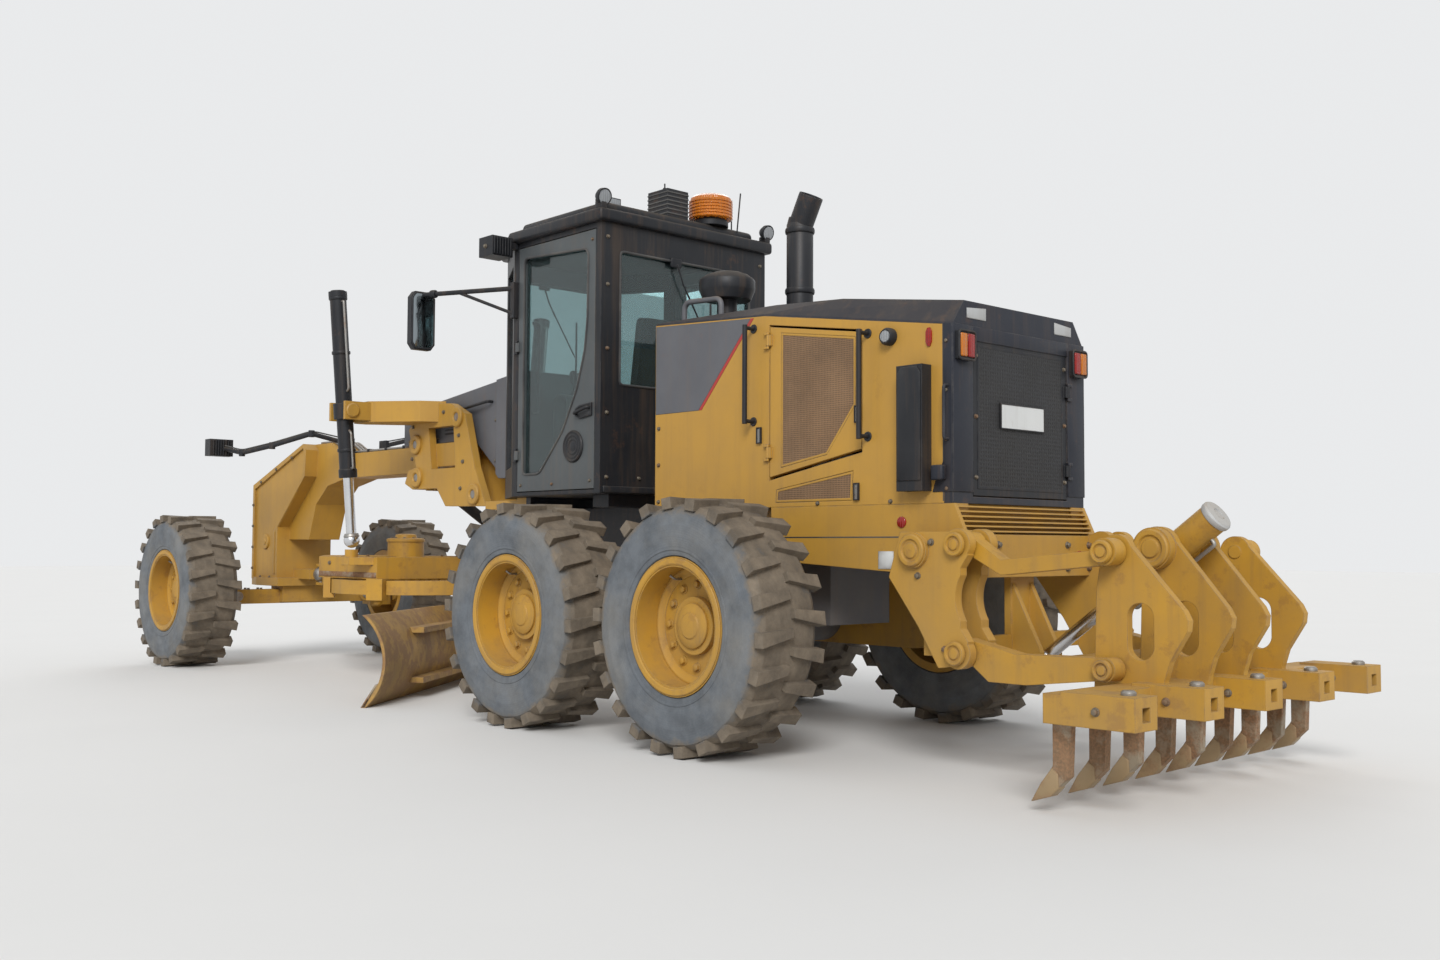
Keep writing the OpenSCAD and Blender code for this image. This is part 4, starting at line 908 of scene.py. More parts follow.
class Stock:
    """Every finish of the machine, by its use."""

    HOOD_PAINT = ((0.485, 0.262, 0.038), (0.42, 0.232, 0.044))
    FRAME_PAINT = ((0.47, 0.255, 0.034), (0.39, 0.215, 0.04))
    YELLOW = PaintFinish("yellow paint", *HOOD_PAINT, dusty=0.35)
    HOOD_YELLOW = PaintFinish("yellow paint of the hood", *HOOD_PAINT, dusty=0.35, dark_behind=-1.936)
    FRAME_YELLOW = PaintFinish("yellow paint on the frame", *FRAME_PAINT, dusty=0.45)
    ARCH_YELLOW = PaintFinish("yellow paint of the front frame", *FRAME_PAINT, dusty=0.45, dark_behind=1.60)
    LOW_YELLOW = PaintFinish("yellow paint under dust", (0.48, 0.255, 0.026), (0.38, 0.205, 0.03), dusty=0.4, rust=0.25)
    BLADE = PaintFinish("worn yellow of the blade", (0.44, 0.25, 0.045), (0.30, 0.17, 0.045), dusty=0.5, rust=0.75)
    BLACK = PaintFinish("satin black", (0.013, 0.014, 0.017), (0.022, 0.023, 0.026), dusty=0.12,
                        chipped=(0.09, 0.085, 0.08), chips=0.5, gloss=0.40, shine=0.26, slot="black_paint")
    CAP = PaintFinish("dark cap paint", (0.016, 0.018, 0.026), (0.026, 0.029, 0.038), dusty=0.16,
                      chipped=(0.12, 0.11, 0.1), chips=0.6, shine=0.26, slot="black_paint")
    GREY = PaintFinish("dark grey paint", (0.092, 0.094, 0.104), (0.12, 0.122, 0.132), dusty=0.35,
                       chipped=(0.05, 0.05, 0.05), gloss=0.45, slot="grey_paint")
    PALE_GREY = PaintFinish("pale grey paint", (0.36, 0.37, 0.37), (0.42, 0.42, 0.41), dusty=0.4, gloss=0.5,
                            slot="grey_paint")
    DOOR_GREY = PaintFinish("grey of the cab doors", (0.055, 0.062, 0.065), (0.08, 0.088, 0.09), dusty=0.2, gloss=0.38)
    RED = PaintFinish("red stripe", (0.42, 0.03, 0.025), (0.36, 0.035, 0.03), dusty=0.25, gloss=0.35)
    WHITE = PaintFinish("blank pale plate", (0.62, 0.63, 0.62), (0.55, 0.56, 0.55), dusty=0.4, gloss=0.4,
                        slot="grey_paint")
    ROD = MetalFinish("polished rod", (0.72, 0.73, 0.75), polish=0.16)
    STEEL = MetalFinish("bare steel", (0.34, 0.33, 0.31), rust=0.35, polish=0.42, shine=0.8)
    WORN = MetalFinish("rusty worn steel", (0.36, 0.30, 0.22), rust=0.75, polish=0.45, shine=0.45)
    TIP = MetalFinish("tan worn tips", (0.36, 0.25, 0.13), rust=0.4, polish=0.4, shine=0.3)
    MIRROR = MetalFinish("mirror glass", (0.30, 0.34, 0.36), polish=0.05, slot="glass")
    BOLT = MetalFinish("dull bolt heads", (0.20, 0.17, 0.13), rust=0.45, polish=0.45, shine=0.6)
    GLASS = GlassFinish("tinted panes", (0.40, 0.53, 0.54), clear=0.96)
    AMBER = LensFinish("amber lens", (0.78, 0.23, 0.015))
    RED_LENS = LensFinish("red lens", (0.42, 0.015, 0.01))
    CLEAR = LensFinish("clear lens", (0.72, 0.75, 0.78), clear=0.6, slot="glass")
    SCREEN = SheetFinish("black screen", (0.016, 0.018, 0.022), pitch=0.02, dusty=0.04)
    PANEL = SheetFinish("brown perforated panel", (0.25, 0.135, 0.062), pitch=0.011, dusty=0.3)
    SEAT = WeaveFinish("seat cover", (0.03, 0.032, 0.036))
    PLASTIC = WeaveFinish("moulded plastic", (0.025, 0.026, 0.028), thread=400.0, rough=0.55)
    RUBBER_TRIM = WeaveFinish("rubber seal", (0.018, 0.018, 0.019), thread=250.0, rough=0.7, slot="black_paint")
    TYRE_REAR = RubberFinish("rear tyre", -0.7615)
    TYRE_MID = RubberFinish("middle tyre", 0.7615)
    TYRE_FRONT = RubberFinish("front tyre", 6.123)


# The CAD nodes by finish; a name that ends in _* stands for its left and its right node.
NODES_BY_FINISH: dict[Finish, str] = {
    Stock.YELLOW: "engine_door_*",
    Stock.HOOD_YELLOW: "hood",
    Stock.FRAME_YELLOW: "rear_frame lift_arms",
    Stock.ARCH_YELLOW: "front_frame",
    Stock.LOW_YELLOW: "tandem_cases rim_rear_* rim_mid_* rim_front_* drawbar circle blade_mount front_axle lean_yoke_* "
                      "spindle_* ripper_lower_link ripper_upper_links ripper_carriage ripper_barrel",
    Stock.BLADE: "blade",
    Stock.GREY: "driveline front_cover",
    Stock.DOOR_GREY: "cab_door_*",
    Stock.CAP: "hood_cap",
    Stock.BLACK: "stacks rear_lamps hood_rails rear_screen cab_shell cab_roof cab_fittings lift_barrel_* tip_barrel "
                 "shift_barrel tie_rod",
    Stock.TYRE_REAR: "tyre_rear_*",
    Stock.TYRE_MID: "tyre_mid_*",
    Stock.TYRE_FRONT: "tyre_front_*",
    Stock.GLASS: "cab_glass",
    Stock.PLASTIC: "cab_interior",
    Stock.AMBER: "beacon",
    Stock.ROD: "lift_rod_* tip_rod shift_rod ripper_rod",
    Stock.WORN: "ripper_teeth",
}


def dress_nodes() -> None:
    """Give every CAD node its finish; the nodes that have none in the table are bare steel."""
    chosen = {name.replace("*", side): finish for finish, names in NODES_BY_FINISH.items()
              for name in names.split() for side in SIDE_NAMES.values()}
    for name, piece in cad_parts.items():
        finish = chosen.get(name, Stock.STEEL)
        slots = piece.material_slots
        if not slots:
            piece.data.materials.append(finish.material())
        for one in slots:
            one.material = finish.material()
        log.info("node %s: %s", name, finish.label)


def dress(piece: bpy.types.Object, finish: Coat, body: str, slot: str = "") -> bpy.types.Object:
    """Give a piece its finish and let it ride on a body.

    Args:
        piece: the finished mesh.
        finish: the finish, or one for each material slot.
        body: the body that the piece moves with.
        slot: the record's material slot, if it isn't the first finish's own; not used.

    Returns:
        The dressed piece.
    """
    coats = [finish] if isinstance(finish, Finish) else finish
    for one in coats:
        piece.data.materials.append(one.material())
    slot = slot or coats[0].slot
    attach(piece, body)
    log.info("piece %s rides on %s", piece.name, body)
    return piece


# Sub-assemblies

OUT, UP, AHEAD, BACK = (0, 1, 0), (0, 0, 1), (1, 0, 0), (-1, 0, 0)


def button(radius: float, foot: float, wall: float, rim: float, top: float, middle: float) -> list[Pair]:
    """Give the section of a low round cap.

    Args:
        radius: the cap's radius.
        foot: the height of its foot.
        wall: the height of its wall.
        rim: the radius at which its top starts.
        top: the height of its top's edge.
        middle: the height of its top's middle.

    Returns:
        The section as radius and height.
    """
    return [(0, foot), (radius, foot), (radius, wall), (rim, top), (0, middle)]


@dataclass(frozen=True)
class Kit:
    """Makes dressed pieces that ride on one body, on one side of the machine.

    Each y that it is given counts outward from the machine's middle, so one set of numbers
    serves both sides. A piece without a finish stays bare, to be joined to others.
    """

    body: str
    side: int = 1

    @property
    def tag(self) -> str:
        """Give the side's name."""
        return SIDE_NAMES[self.side]

    def on(self, body: str) -> "Kit":
        """Give the same side's kit for another body."""
        return Kit(body, self.side)

    def at(self, point: Sequence[float]) -> Point:
        return (point[0], self.side * point[1], point[2])

    def span(self, inner: float, outer: float) -> list[float]:
        return sorted((self.side * inner, self.side * outer))

    def dress(self, piece: bpy.types.Object, finish: Coat | None, slot: str = "") -> bpy.types.Object:
        return dress(piece, finish, self.body, slot) if finish else piece

    def join(self, name: str, pieces: Sequence[bpy.types.Object], finish: Coat) -> bpy.types.Object:
        """Join bare pieces and dress them."""
        return self.dress(Bench.joined(name, pieces), finish)

    def spun(
        self, name: str, section: Sequence[Pair], foot: Point, finish: Coat | None = None,
        out: Sequence[float] = OUT, steps: int = 40,
    ) -> bpy.types.Object:
        """Spin a section about an axis; see Bench.turned."""
        return self.dress(Bench.turned(name, section, self.at(foot), self.at(out), steps), finish)

    def bolts(
        self, name: str, size: float, spots: Sequence[Point], out: Sequence[float] = OUT,
        finish: Coat = Stock.BOLT,
    ) -> bpy.types.Object:
        """Make a row of bolt heads; see Bench.bolts."""
        return self.dress(Bench.bolts(name, size, [self.at(spot) for spot in spots], self.at(out)), finish)

    def block(
        self, name: str, low: Point, high: Point, finish: Coat | None = None, edge: float = 0.004,
        segments: int = 2, slot: str = "",
    ) -> bpy.types.Object:
        """Make a box between two corners; see Bench.block.

        Args:
            name: the piece's name.
            low: one corner.
            high: the corner opposite.
            finish: its finish, if it is dressed.
            edge: the width of its broken edges.
            segments: their steps.
            slot: the record's material slot, if it isn't the finish's own.

        Returns:
            The piece.
        """
        y0, y1 = self.span(low[1], high[1])
        piece = Bench.block(name, (low[0], y0, low[2]), (high[0], y1, high[2]), edge, segments)
        return self.dress(piece, finish, slot)

    def tube(
        self, name: str, route: Sequence[Point], radius: float, finish: Coat | None = None,
        bend: float = 0.05, loop: bool = False,
    ) -> bpy.types.Object:
        """Make a round tube along a route; see Bench.tube."""
        return self.dress(Bench.tube(name, [self.at(p) for p in route], radius, bend, loop), finish)

    def lay_out(self, outline: Sequence[Pair], plane: Plane, low: float, high: float) -> tuple:
        """Args:
            outline: the outline's points in the plane.
            plane: the plane, XZ or YZ.
            low: where the plate starts along the plane's axis.
            high: where it ends.

        Returns:
            The outline, the plane and the two ends.
        """
        if plane is Plane.XZ:
            return (outline, plane, *self.span(low, high))
        return ([(self.side * y, z) for y, z in outline], plane, low, high)

    def plate(
        self, name: str, outline: Sequence[Pair], low: float, high: float, finish: Coat | None = None,
        edge: float = 0.0, segments: int = 2, plane: Plane = Plane.XZ,
    ) -> bpy.types.Object:
        """Pull an outline to a plate; see Bench.plate."""
        return self.dress(Bench.plate(name, *self.lay_out(outline, plane, low, high), edge, segments), finish)

    def framed(
        self, name: str, outline: Sequence[Pair], low: float, high: float, finish: Coat, slot: str,
        border: float, sunk: float, plane: Plane = Plane.XZ,
    ) -> bpy.types.Object:
        """Make a plate with a sunk field; see Bench.framed_plate.

        Args:
            name: the piece's name.
            outline: the plate's outline in the plane.
            low: where the plate starts along the plane's axis.
            high: where it ends.
            finish: the finishes of the frame and the field.
            slot: the record's material slot.
            border: the frame's width.
            sunk: the field's depth.
            plane: the plane, in which a field of XZ looks outward and one of YZ looks back.

        Returns:
            The piece.
        """
        way = Vector(self.at(OUT) if plane is Plane.XZ else BACK)
        piece = Bench.framed_plate(name, *self.lay_out(outline, plane, low, high), way, border, sunk)
        return self.dress(piece, finish, slot)


def rectangle(a: float, b: float, c: float, d: float) -> list[Pair]:
    """Give a rectangle's corners, from a to c one way and from b to d the other."""
    return [(a, b), (c, b), (c, d), (a, d)]


@dataclass
class Wheels:
    """Hubs, wheel nuts, lock rings, valves and sidewall rings of the six wheels."""

    track_half: float = 1.070
    axle_height: float = 0.665
    disc_out: float = 0.040
    nut_circle: float = 0.215
    nuts: int = 12
    valve_circle: float = 0.27
    valve_turn: float = math.radians(62)
    rows: tuple[tuple[str, float, Finish], ...] = (
        ("rear", -0.7615, Stock.TYRE_REAR), ("mid", 0.7615, Stock.TYRE_MID), ("front", 6.123, Stock.TYRE_FRONT))

    def build(self) -> None:
        """Dress each wheel."""
        for row, x, rubber in self.rows:
            for side in SIDES:
                tag = f"{row}_{SIDE_NAMES[side]}"
                self.wheel(Kit(f"wheel_{tag}", side), tag, x, rubber)

    def wheel(self, kit: Kit, tag: str, x: float, rubber: Finish) -> None:
        """Make one wheel's fittings.

        Args:
            kit: the wheel's kit.
            tag: the wheel's row and side.
            x: its axle's place along the machine.
            rubber: its tyre's finish.
        """
        z, face, middle = self.axle_height, self.track_half + self.disc_out, self.track_half
        turns = [math.tau * k / self.nuts for k in range(self.nuts)]
        spots = [(x + self.nut_circle * math.cos(a), face, z + self.nut_circle * math.sin(a)) for a in turns]
        kit.bolts(f"wheel_nuts_{tag}", 0.019, spots, finish=Stock.LOW_YELLOW)
        kit.spun(f"hub_cap_{tag}", [
            (0, -0.01), (0.118, -0.01), (0.118, 0.012), (0.108, 0.02), (0.07, 0.024), (0.064, 0.03),
            (0.03, 0.034), (0, 0.034)], (x, face + 0.034, z), Stock.LOW_YELLOW)
        kit.spun(f"disc_ring_{tag}", [
            (0.262, -0.004), (0.306, -0.004), (0.306, 0.022), (0.296, 0.022), (0.276, 0.006), (0.262, 0.003)],
            (x, face, z), Stock.LOW_YELLOW, steps=64)
        kit.spun(f"lock_ring_{tag}", [
            (0.318, 0.200), (0.347, 0.200), (0.352, 0.208), (0.347, 0.213), (0.322, 0.213), (0.314, 0.207)],
            (x, middle, z), Stock.LOW_YELLOW, steps=72)
        base_x = x + self.valve_circle * math.cos(self.valve_turn)
        base_z = z + self.valve_circle * math.sin(self.valve_turn)
        kit.tube(f"valve_{tag}", [
            (base_x, face + 0.004, base_z), (base_x, face + 0.05, base_z),
            (base_x + 0.012, face + 0.075, base_z + 0.02)], 0.007, Stock.STEEL, 0.01)
        kit.spun(f"sidewall_rings_{tag}", [
            (0.384, 0.200), (0.392, 0.215), (0.404, 0.2155), (0.41, 0.200)], (x, middle, z), rubber, steps=80)


@dataclass
class Tandems:
    """Covers, flanges and bolts of the two chain cases between the rear wheels."""

    pitch: float = 1.523
    face: float = 0.800
    middle: float = 0.665
    bolt_rise: float = 0.200 - 0.03

    def build(self) -> None:
        """Dress both cases."""
        for side in SIDES:
            self.case(Kit("rear", side))

    def case(self, kit: Kit) -> None:
        """Make one case's covers and bolts.

        Args:
            kit: the side's kit.
        """
        places = [-self.pitch / 2 + 0.05 + k * (self.pitch - 0.1) / 12 for k in range(13)]
        spots = [(x, self.face, self.middle + s * self.bolt_rise) for x in places for s in SIDES]
        kit.bolts(f"case_bolts_{kit.tag}", 0.012, spots)
        cover = [(0, -0.005), (0.115, -0.005), (0.115, 0.008), (0.108, 0.014), (0.06, 0.014), (0.055, 0.02), (0, 0.02)]
        flange = [(0.149, -0.004), (0.186, -0.004), (0.186, 0.02), (0.178, 0.027), (0.149, 0.027)]
        for name, section, reach, steps in (
            ("case_cover", cover, 0.28, 40), ("axle_flange", flange, self.pitch / 2, 48)
        ):
            for number, x in enumerate((-reach, reach)):
                kit.spun(f"{name}_{kit.tag}_{number}", section, (x, self.face, self.middle), Stock.LOW_YELLOW,
                         steps=steps)


@dataclass
class EngineHood:
    """Perforated panels, the grey wedge with its red edge, latches, rails' feet, side fittings and engine."""

    wall: float = 0.567
    door_panel: tuple[Pair, ...] = (
        (-1.364, 1.811), (-1.1655, 1.5615), (-0.826, 1.507), (-0.826, 2.244), (-1.364, 2.164))
    low_panel: tuple[Pair, ...] = ((-1.338, 1.317), (-1.347, 1.467), (-0.792, 1.384), (-0.787, 1.317))
    wedge: tuple[Pair, ...] = ((0.236, 1.865), (0.236, 2.398), (-0.585, 2.352), (-0.150, 1.865))
    stripe: tuple[Pair, ...] = ((-0.150, 1.865), (-0.585, 2.352), (-0.612, 2.351), (-0.177, 1.865))

    def build(self) -> None:
        """Dress both sides of the hood, its top and the engine."""
        for side in SIDES:
            kit = Kit("rear", side)
            self.panels(kit)
            self.side_fittings(kit)
            self.side_bolts(kit)
            self.side_trim(kit)
        self.cap()
        for side in SIDES:
            self.engine_side(Kit("rear", side))
        self.cooling(Kit("rear"))

    def engine_side(self, kit: Kit) -> None:
        """Make what shows of the engine through one open door: ribs, manifold, filters and hose.

        Args:
            kit: the side's kit.
        """
        tag = kit.tag
        ribs = [kit.block(f"engine_rib_{k}", (-1.38 + 0.15 * k, 0.318, 1.40), (-1.33 + 0.15 * k, 0.342, 1.82),
                          edge=0.006) for k in range(7)]
        rail = kit.block("engine_rail", (-1.44, 0.318, 1.85), (-0.42, 0.342, 1.90), edge=0.008)
        kit.join(f"engine_ribs_{tag}", [*ribs, rail], Stock.GREY)
        kit.bolts(f"engine_bolts_{tag}", 0.012, [(-1.39 + 0.105 * k, 0.342, 1.875) for k in range(10)])
        pipes = [kit.tube("manifold", [(-1.36, 0.385, 1.975), (-0.50, 0.385, 1.975)], 0.036, bend=0.02)]
        pipes += [kit.tube(f"stub_{k}", [(-1.30 + 0.18 * k, y, 1.975) for y in (0.315, 0.385)], 0.026, bend=0.02)
                  for k in range(5)]
        kit.join(f"manifold_{tag}", pipes, Stock.WORN)
        for number, x in enumerate((-1.13, -0.98)):
            kit.spun(f"filter_{tag}_{number}", [
                (0, 0), (0.045, 0), (0.055, 0.015), (0.055, 0.20), (0.048, 0.212), (0.048, 0.235), (0, 0.235)],
                (x, 0.412, 1.50), Stock.WHITE, UP, 36)
            kit.block(f"filter_mount_{tag}_{number}", (x - 0.05, 0.33, 1.733), (x + 0.05, 0.465, 1.775),
                      Stock.BLACK, 0.008)
        kit.tube(f"coolant_hose_{tag}", [
            (-1.40, 0.24, 2.052), (-1.40, 0.24, 2.10), (-1.60, 0.24, 2.10), (-1.74, 0.24, 2.03)],
            0.030, Stock.RUBBER_TRIM, 0.06)

    def cooling(self, kit: Kit) -> None:
        """Make the radiator, its fins and the fan.

        Args:
            kit: the rear body's kit.
        """
        kit.block("radiator", (-1.86, -0.40, 1.335), (-1.72, 0.40, 2.08), Stock.BLACK, 0.012)
        fins = [kit.block(f"fin_row_{k}", (-1.868, -0.37, 1.38 + 0.046 * k), (-1.712, 0.37, 1.392 + 0.046 * k),
                          edge=0.002, segments=1) for k in range(15)]
        kit.join("radiator_fins", fins, Stock.STEEL)
        kit.spun("fan_hub", [
            (0, 0), (0.11, 0), (0.11, 0.03), (0.09, 0.035), (0.09, 0.09), (0.06, 0.095), (0.06, 0.15), (0, 0.15)],
            (-1.479, 0, 1.70), Stock.STEEL, BACK)
        vane = kit.plate("fan_vane", [(-0.045, 0.05), (0.045, 0.05), (0.075, 0.30), (-0.045, 0.30)],
                         FRAME_X, FRAME_X + 0.012, edge=0.002, plane=Plane.YZ)
        kit.dress(Bench.around("fan_vanes", vane, (-1.60, 0, 1.70), "X", 7), Stock.BLACK)

    def panels(self, kit: Kit) -> None:
        """Make a side's perforated panels, the grey wedge with its red stripe and the paddle latches.

        Args:
            kit: the side's kit.
        """
        tag, wall = kit.tag, self.wall
        door = kit.on(f"engine_door_{tag}")
        for name, outline, owner in (("door_panel", self.door_panel, door), ("low_panel", self.low_panel, kit)):
            owner.framed(f"{name}_{tag}", outline, wall - 0.0003, wall - 0.003, (Stock.YELLOW, Stock.PANEL),
                         "mesh", 0.012, 0.0015)
        for name, outline, finish in (("grey_wedge", self.wedge, Stock.GREY), ("red_stripe", self.stripe, Stock.RED)):
            kit.plate(f"{name}_{tag}", outline, wall - 0.001, wall + 0.0015, finish, 0.0005, 1)
        for name, x, z, owner in (
            ("door_latch", -1.383, 1.76, door), ("front_latch", -0.66, 1.69, kit), ("low_latch", -1.377, 1.36, kit)
        ):
            owner.framed(f"{name}_{tag}", rectangle(x - 0.017, z - 0.045, x + 0.017, z + 0.045),
                         wall - 0.002, wall + 0.014, (Stock.BLACK, Stock.STEEL), "black_paint", 0.006, 0.006)

    def side_fittings(self, kit: Kit) -> None:
        """Make a side's red reflector, blank plate and lamp.

        Args:
            kit: the side's kit.
        """
        tag, wall = kit.tag, self.wall
        kit.spun(f"red_reflector_{tag}", button(0.028, -0.002, 0.006, 0.022, 0.01, 0.011),
                 (-1.673, wall, 1.20), Stock.RED_LENS, steps=32)
        kit.plate(f"blank_plate_{tag}", rectangle(-1.62, 0.965, -1.52, 1.055), wall, wall + 0.003,
                  Stock.WHITE, 0.001)
        kit.spun(f"side_lamp_{tag}", [
            (0, -0.002), (0.045, -0.002), (0.045, 0.03), (0.036, 0.045), (0.030, 0.042), (0, 0.036)],
            (-1.60, wall, 2.135), Stock.BLACK, steps=28)
        kit.spun(f"side_lamp_lens_{tag}", [(0, 0.0345), (0.0305, 0.0405), (0.028, 0.047), (0, 0.051)],
                 (-1.60, wall, 2.135), Stock.CLEAR, steps=28)

    def side_bolts(self, kit: Kit) -> None:
        """Make a side's seam bolts and the feet of its two grab rails.

        Args:
            kit: the side's kit.
        """
        tag, wall = kit.tag, self.wall
        rows = [(-1.955, z) for z in (1.36, 1.60, 1.84, 2.08)] + [(0.205, z) for z in (1.34, 1.56, 1.78)]
        rows += [(x, 1.305) for x in (-1.6, -1.1, -0.5, 0.0)]
        kit.bolts(f"hood_bolts_{tag}", 0.0095, [(x, wall, z) for x, z in rows])
        for number, (x, ends) in enumerate(((-0.610, (1.770, 2.290)), (-1.450, (1.640, 2.170)))):
            feet = [kit.spun(f"foot_{k}", [(0, 0), (0.026, 0), (0.024, 0.006), (0, 0.006)], (x, wall, z), steps=24)
                    for k, z in enumerate(ends)]
            kit.join(f"rail_feet_{tag}_{number}", feet, Stock.BLACK)

    def side_trim(self, kit: Kit) -> None:
        """Make a side's tall box lid, tall reflector, the dark seam of the hood and a painted shade line along the
        frame's crease.

        Args:
            kit: the side's kit.
        """
        tag, wall = kit.tag, self.wall
        kit.plate(f"tall_box_lid_{tag}", [
            (-1.853, 1.40), (-1.707, 1.40), (-1.707, 1.93), (-1.73, 1.962), (-1.83, 1.962), (-1.853, 1.93)],
            wall + 0.073, wall + 0.082, Stock.BLACK, 0.004)
        kit.plate(f"tall_reflector_{tag}", [
            (-1.866, 2.085), (-1.856, 2.062), (-1.840, 2.062), (-1.830, 2.085), (-1.830, 2.135), (-1.840, 2.155),
            (-1.856, 2.155), (-1.866, 2.135)], wall - 0.001, wall + 0.008, Stock.RED_LENS, 0.002)
        # The frame's crease is a painted shade line, a thin black strip where the bend falls dark; the hood's seam is a
        # dark joint.
        for name, x0, x1, z0, z1 in (
            ("frame_crease_shade", -1.66, -0.80, 1.122, 1.129), ("hood_seam", -1.935, -1.929, 1.30, 2.17)
        ):
            kit.block(f"{name}_{tag}", (x0, wall - 0.002, z0), (x1, wall + 0.0012, z1), Stock.RUBBER_TRIM, 0.0004, 1)

    def cap(self) -> None:
        """Make the cap's pale corner patches, its walkway strips and the pipes beside the air cleaner."""
        for side in SIDES:
            kit = Kit("rear", side)
            kit.plate(f"cap_patch_{kit.tag}", [(0.30, 2.20), (0.455, 2.20), (0.455, 2.25), (0.30, 2.262)],
                      -1.9935, -1.989, Stock.PALE_GREY, 0.001, plane=Plane.YZ)
            kit.tube(f"cap_pipe_{kit.tag}", [
                (-0.16, 0.40, 2.430), (-0.16, 0.40, 2.545), (0.17, 0.40, 2.560), (0.17, 0.40, 2.435)],
                0.017, Stock.GREY, 0.06)
        plain = Kit("rear")
        strips = [plain.block(f"grip_{k}", (-0.62 + 0.09 * k, -0.33, 2.428), (-0.60 + 0.09 * k, -0.13, 2.436),
                              edge=0.002) for k in range(5)]
        plain.join("cap_grips", strips, Stock.BLACK)


@dataclass
class RearFace:
    """Lamps, corner mouldings, the screen's mesh, the blank number plate and the bumper's bolts."""

    face: float = -1.990
    lamp_low: float = 1.990
    lamp_high: float = 2.125
    bumper_back: float = -2.060

    def build(self) -> None:
        """Dress the rear face."""
        for side in SIDES:
            self.lamp(Kit("rear", side))
        for side in SIDES:
            self.corner(Kit("rear", side))
        Kit("rear").plate("corner_top", rectangle(-0.414, 2.092, 0.414, 2.164), self.face - 0.006,
                          self.face + 0.0005, Stock.CAP, 0.0015, plane=Plane.YZ)
        self.screen(Kit("rear_screen"))
        self.bumper()

    def corner(self, kit: Kit) -> None:
        """Make the black corner moulding that frames the screen and turns onto the hood's side.

        Args:
            kit: the side's kit.
        """
        tag = kit.tag
        kit.plate(f"corner_side_{tag}", [
            (self.face - 0.0005, 1.345), (-1.868, 1.345), (-1.886, 1.40), (-1.936, 1.50), (-1.936, 2.168),
            (self.face - 0.0005, 2.164)], 0.5665, 0.5715, Stock.CAP, 0.0015)
        kit.plate(f"corner_rear_{tag}", rectangle(0.412, 1.345, 0.5715, 2.164), self.face - 0.006,
                  self.face + 0.0005, Stock.CAP, 0.0015, plane=Plane.YZ)
        kit.tube(f"corner_grab_{tag}", [
            (-1.965, 0.571, 1.60), (-1.965, 0.605, 1.60), (-1.965, 0.605, 1.86), (-1.965, 0.571, 1.86)],
            0.008, Stock.CAP, 0.02)
        kit.block(f"corner_step_{tag}", (-1.955, 0.570, 1.40), (-1.885, 0.612, 1.475), Stock.CAP, 0.010, 3)

    def lamp(self, kit: Kit) -> None:
        """Make one rear lamp's amber and red lenses in a black rim.

        Args:
            kit: the side's kit.
        """
        tag, back, low, high = kit.tag, self.face - 0.030, self.lamp_low, self.lamp_high
        for colour, inner, outer, finish in (
            ("amber", 0.497, 0.548, Stock.AMBER), ("red", 0.438, 0.491, Stock.RED_LENS)
        ):
            kit.block(f"{colour}_lens_{tag}", (back - 0.012, inner, low + 0.010), (back + 0.003, outer, high - 0.010),
                      finish, 0.008, 3)
        corners = rectangle(0.428, low - 0.002, 0.557, high + 0.002)
        kit.tube(f"lamp_rim_{tag}", [(back - 0.003, y, z) for y, z in corners], 0.006, Stock.BLACK, 0.02, loop=True)

    def screen(self, kit: Kit) -> None:
        """Make the screen's mesh, the blank plate on it and its bolts.

        Args:
            kit: the screen's kit.
        """
        face = self.face
        kit.framed("screen_mesh", rectangle(-0.372, 1.363, 0.372, 2.077), face - 0.002, face + 0.004,
                   (Stock.BLACK, Stock.SCREEN), "mesh", 0.014, 0.001, Plane.YZ)
        kit.framed("blank_number_plate", rectangle(-0.19, 1.67, 0.19, 1.80), face - 0.012, face - 0.002,
                   (Stock.BLACK, Stock.WHITE), "grey_paint", 0.006, 0.002, Plane.YZ)
        kit.bolts("screen_bolts", 0.009, [(face, y, z) for y in (-0.385, 0.385) for z in (1.42, 1.72, 2.02)], BACK)

    def bumper(self) -> None:
        """Make the bumper's bolts and its red reflectors."""
        spots = [(self.bumper_back, y, z) for y in (-0.50, -0.30, 0.30, 0.50) for z in (0.97, 1.09)]
        Kit("rear").bolts("bumper_bolts", 0.014, spots, BACK)
        for side in SIDES:
            kit = Kit("rear", side)
            kit.spun(f"bumper_reflector_{kit.tag}", button(0.03, -0.002, 0.006, 0.024, 0.01, 0.011),
                     (self.bumper_back, 0.41, 1.03), Stock.RED_LENS, BACK, 28)


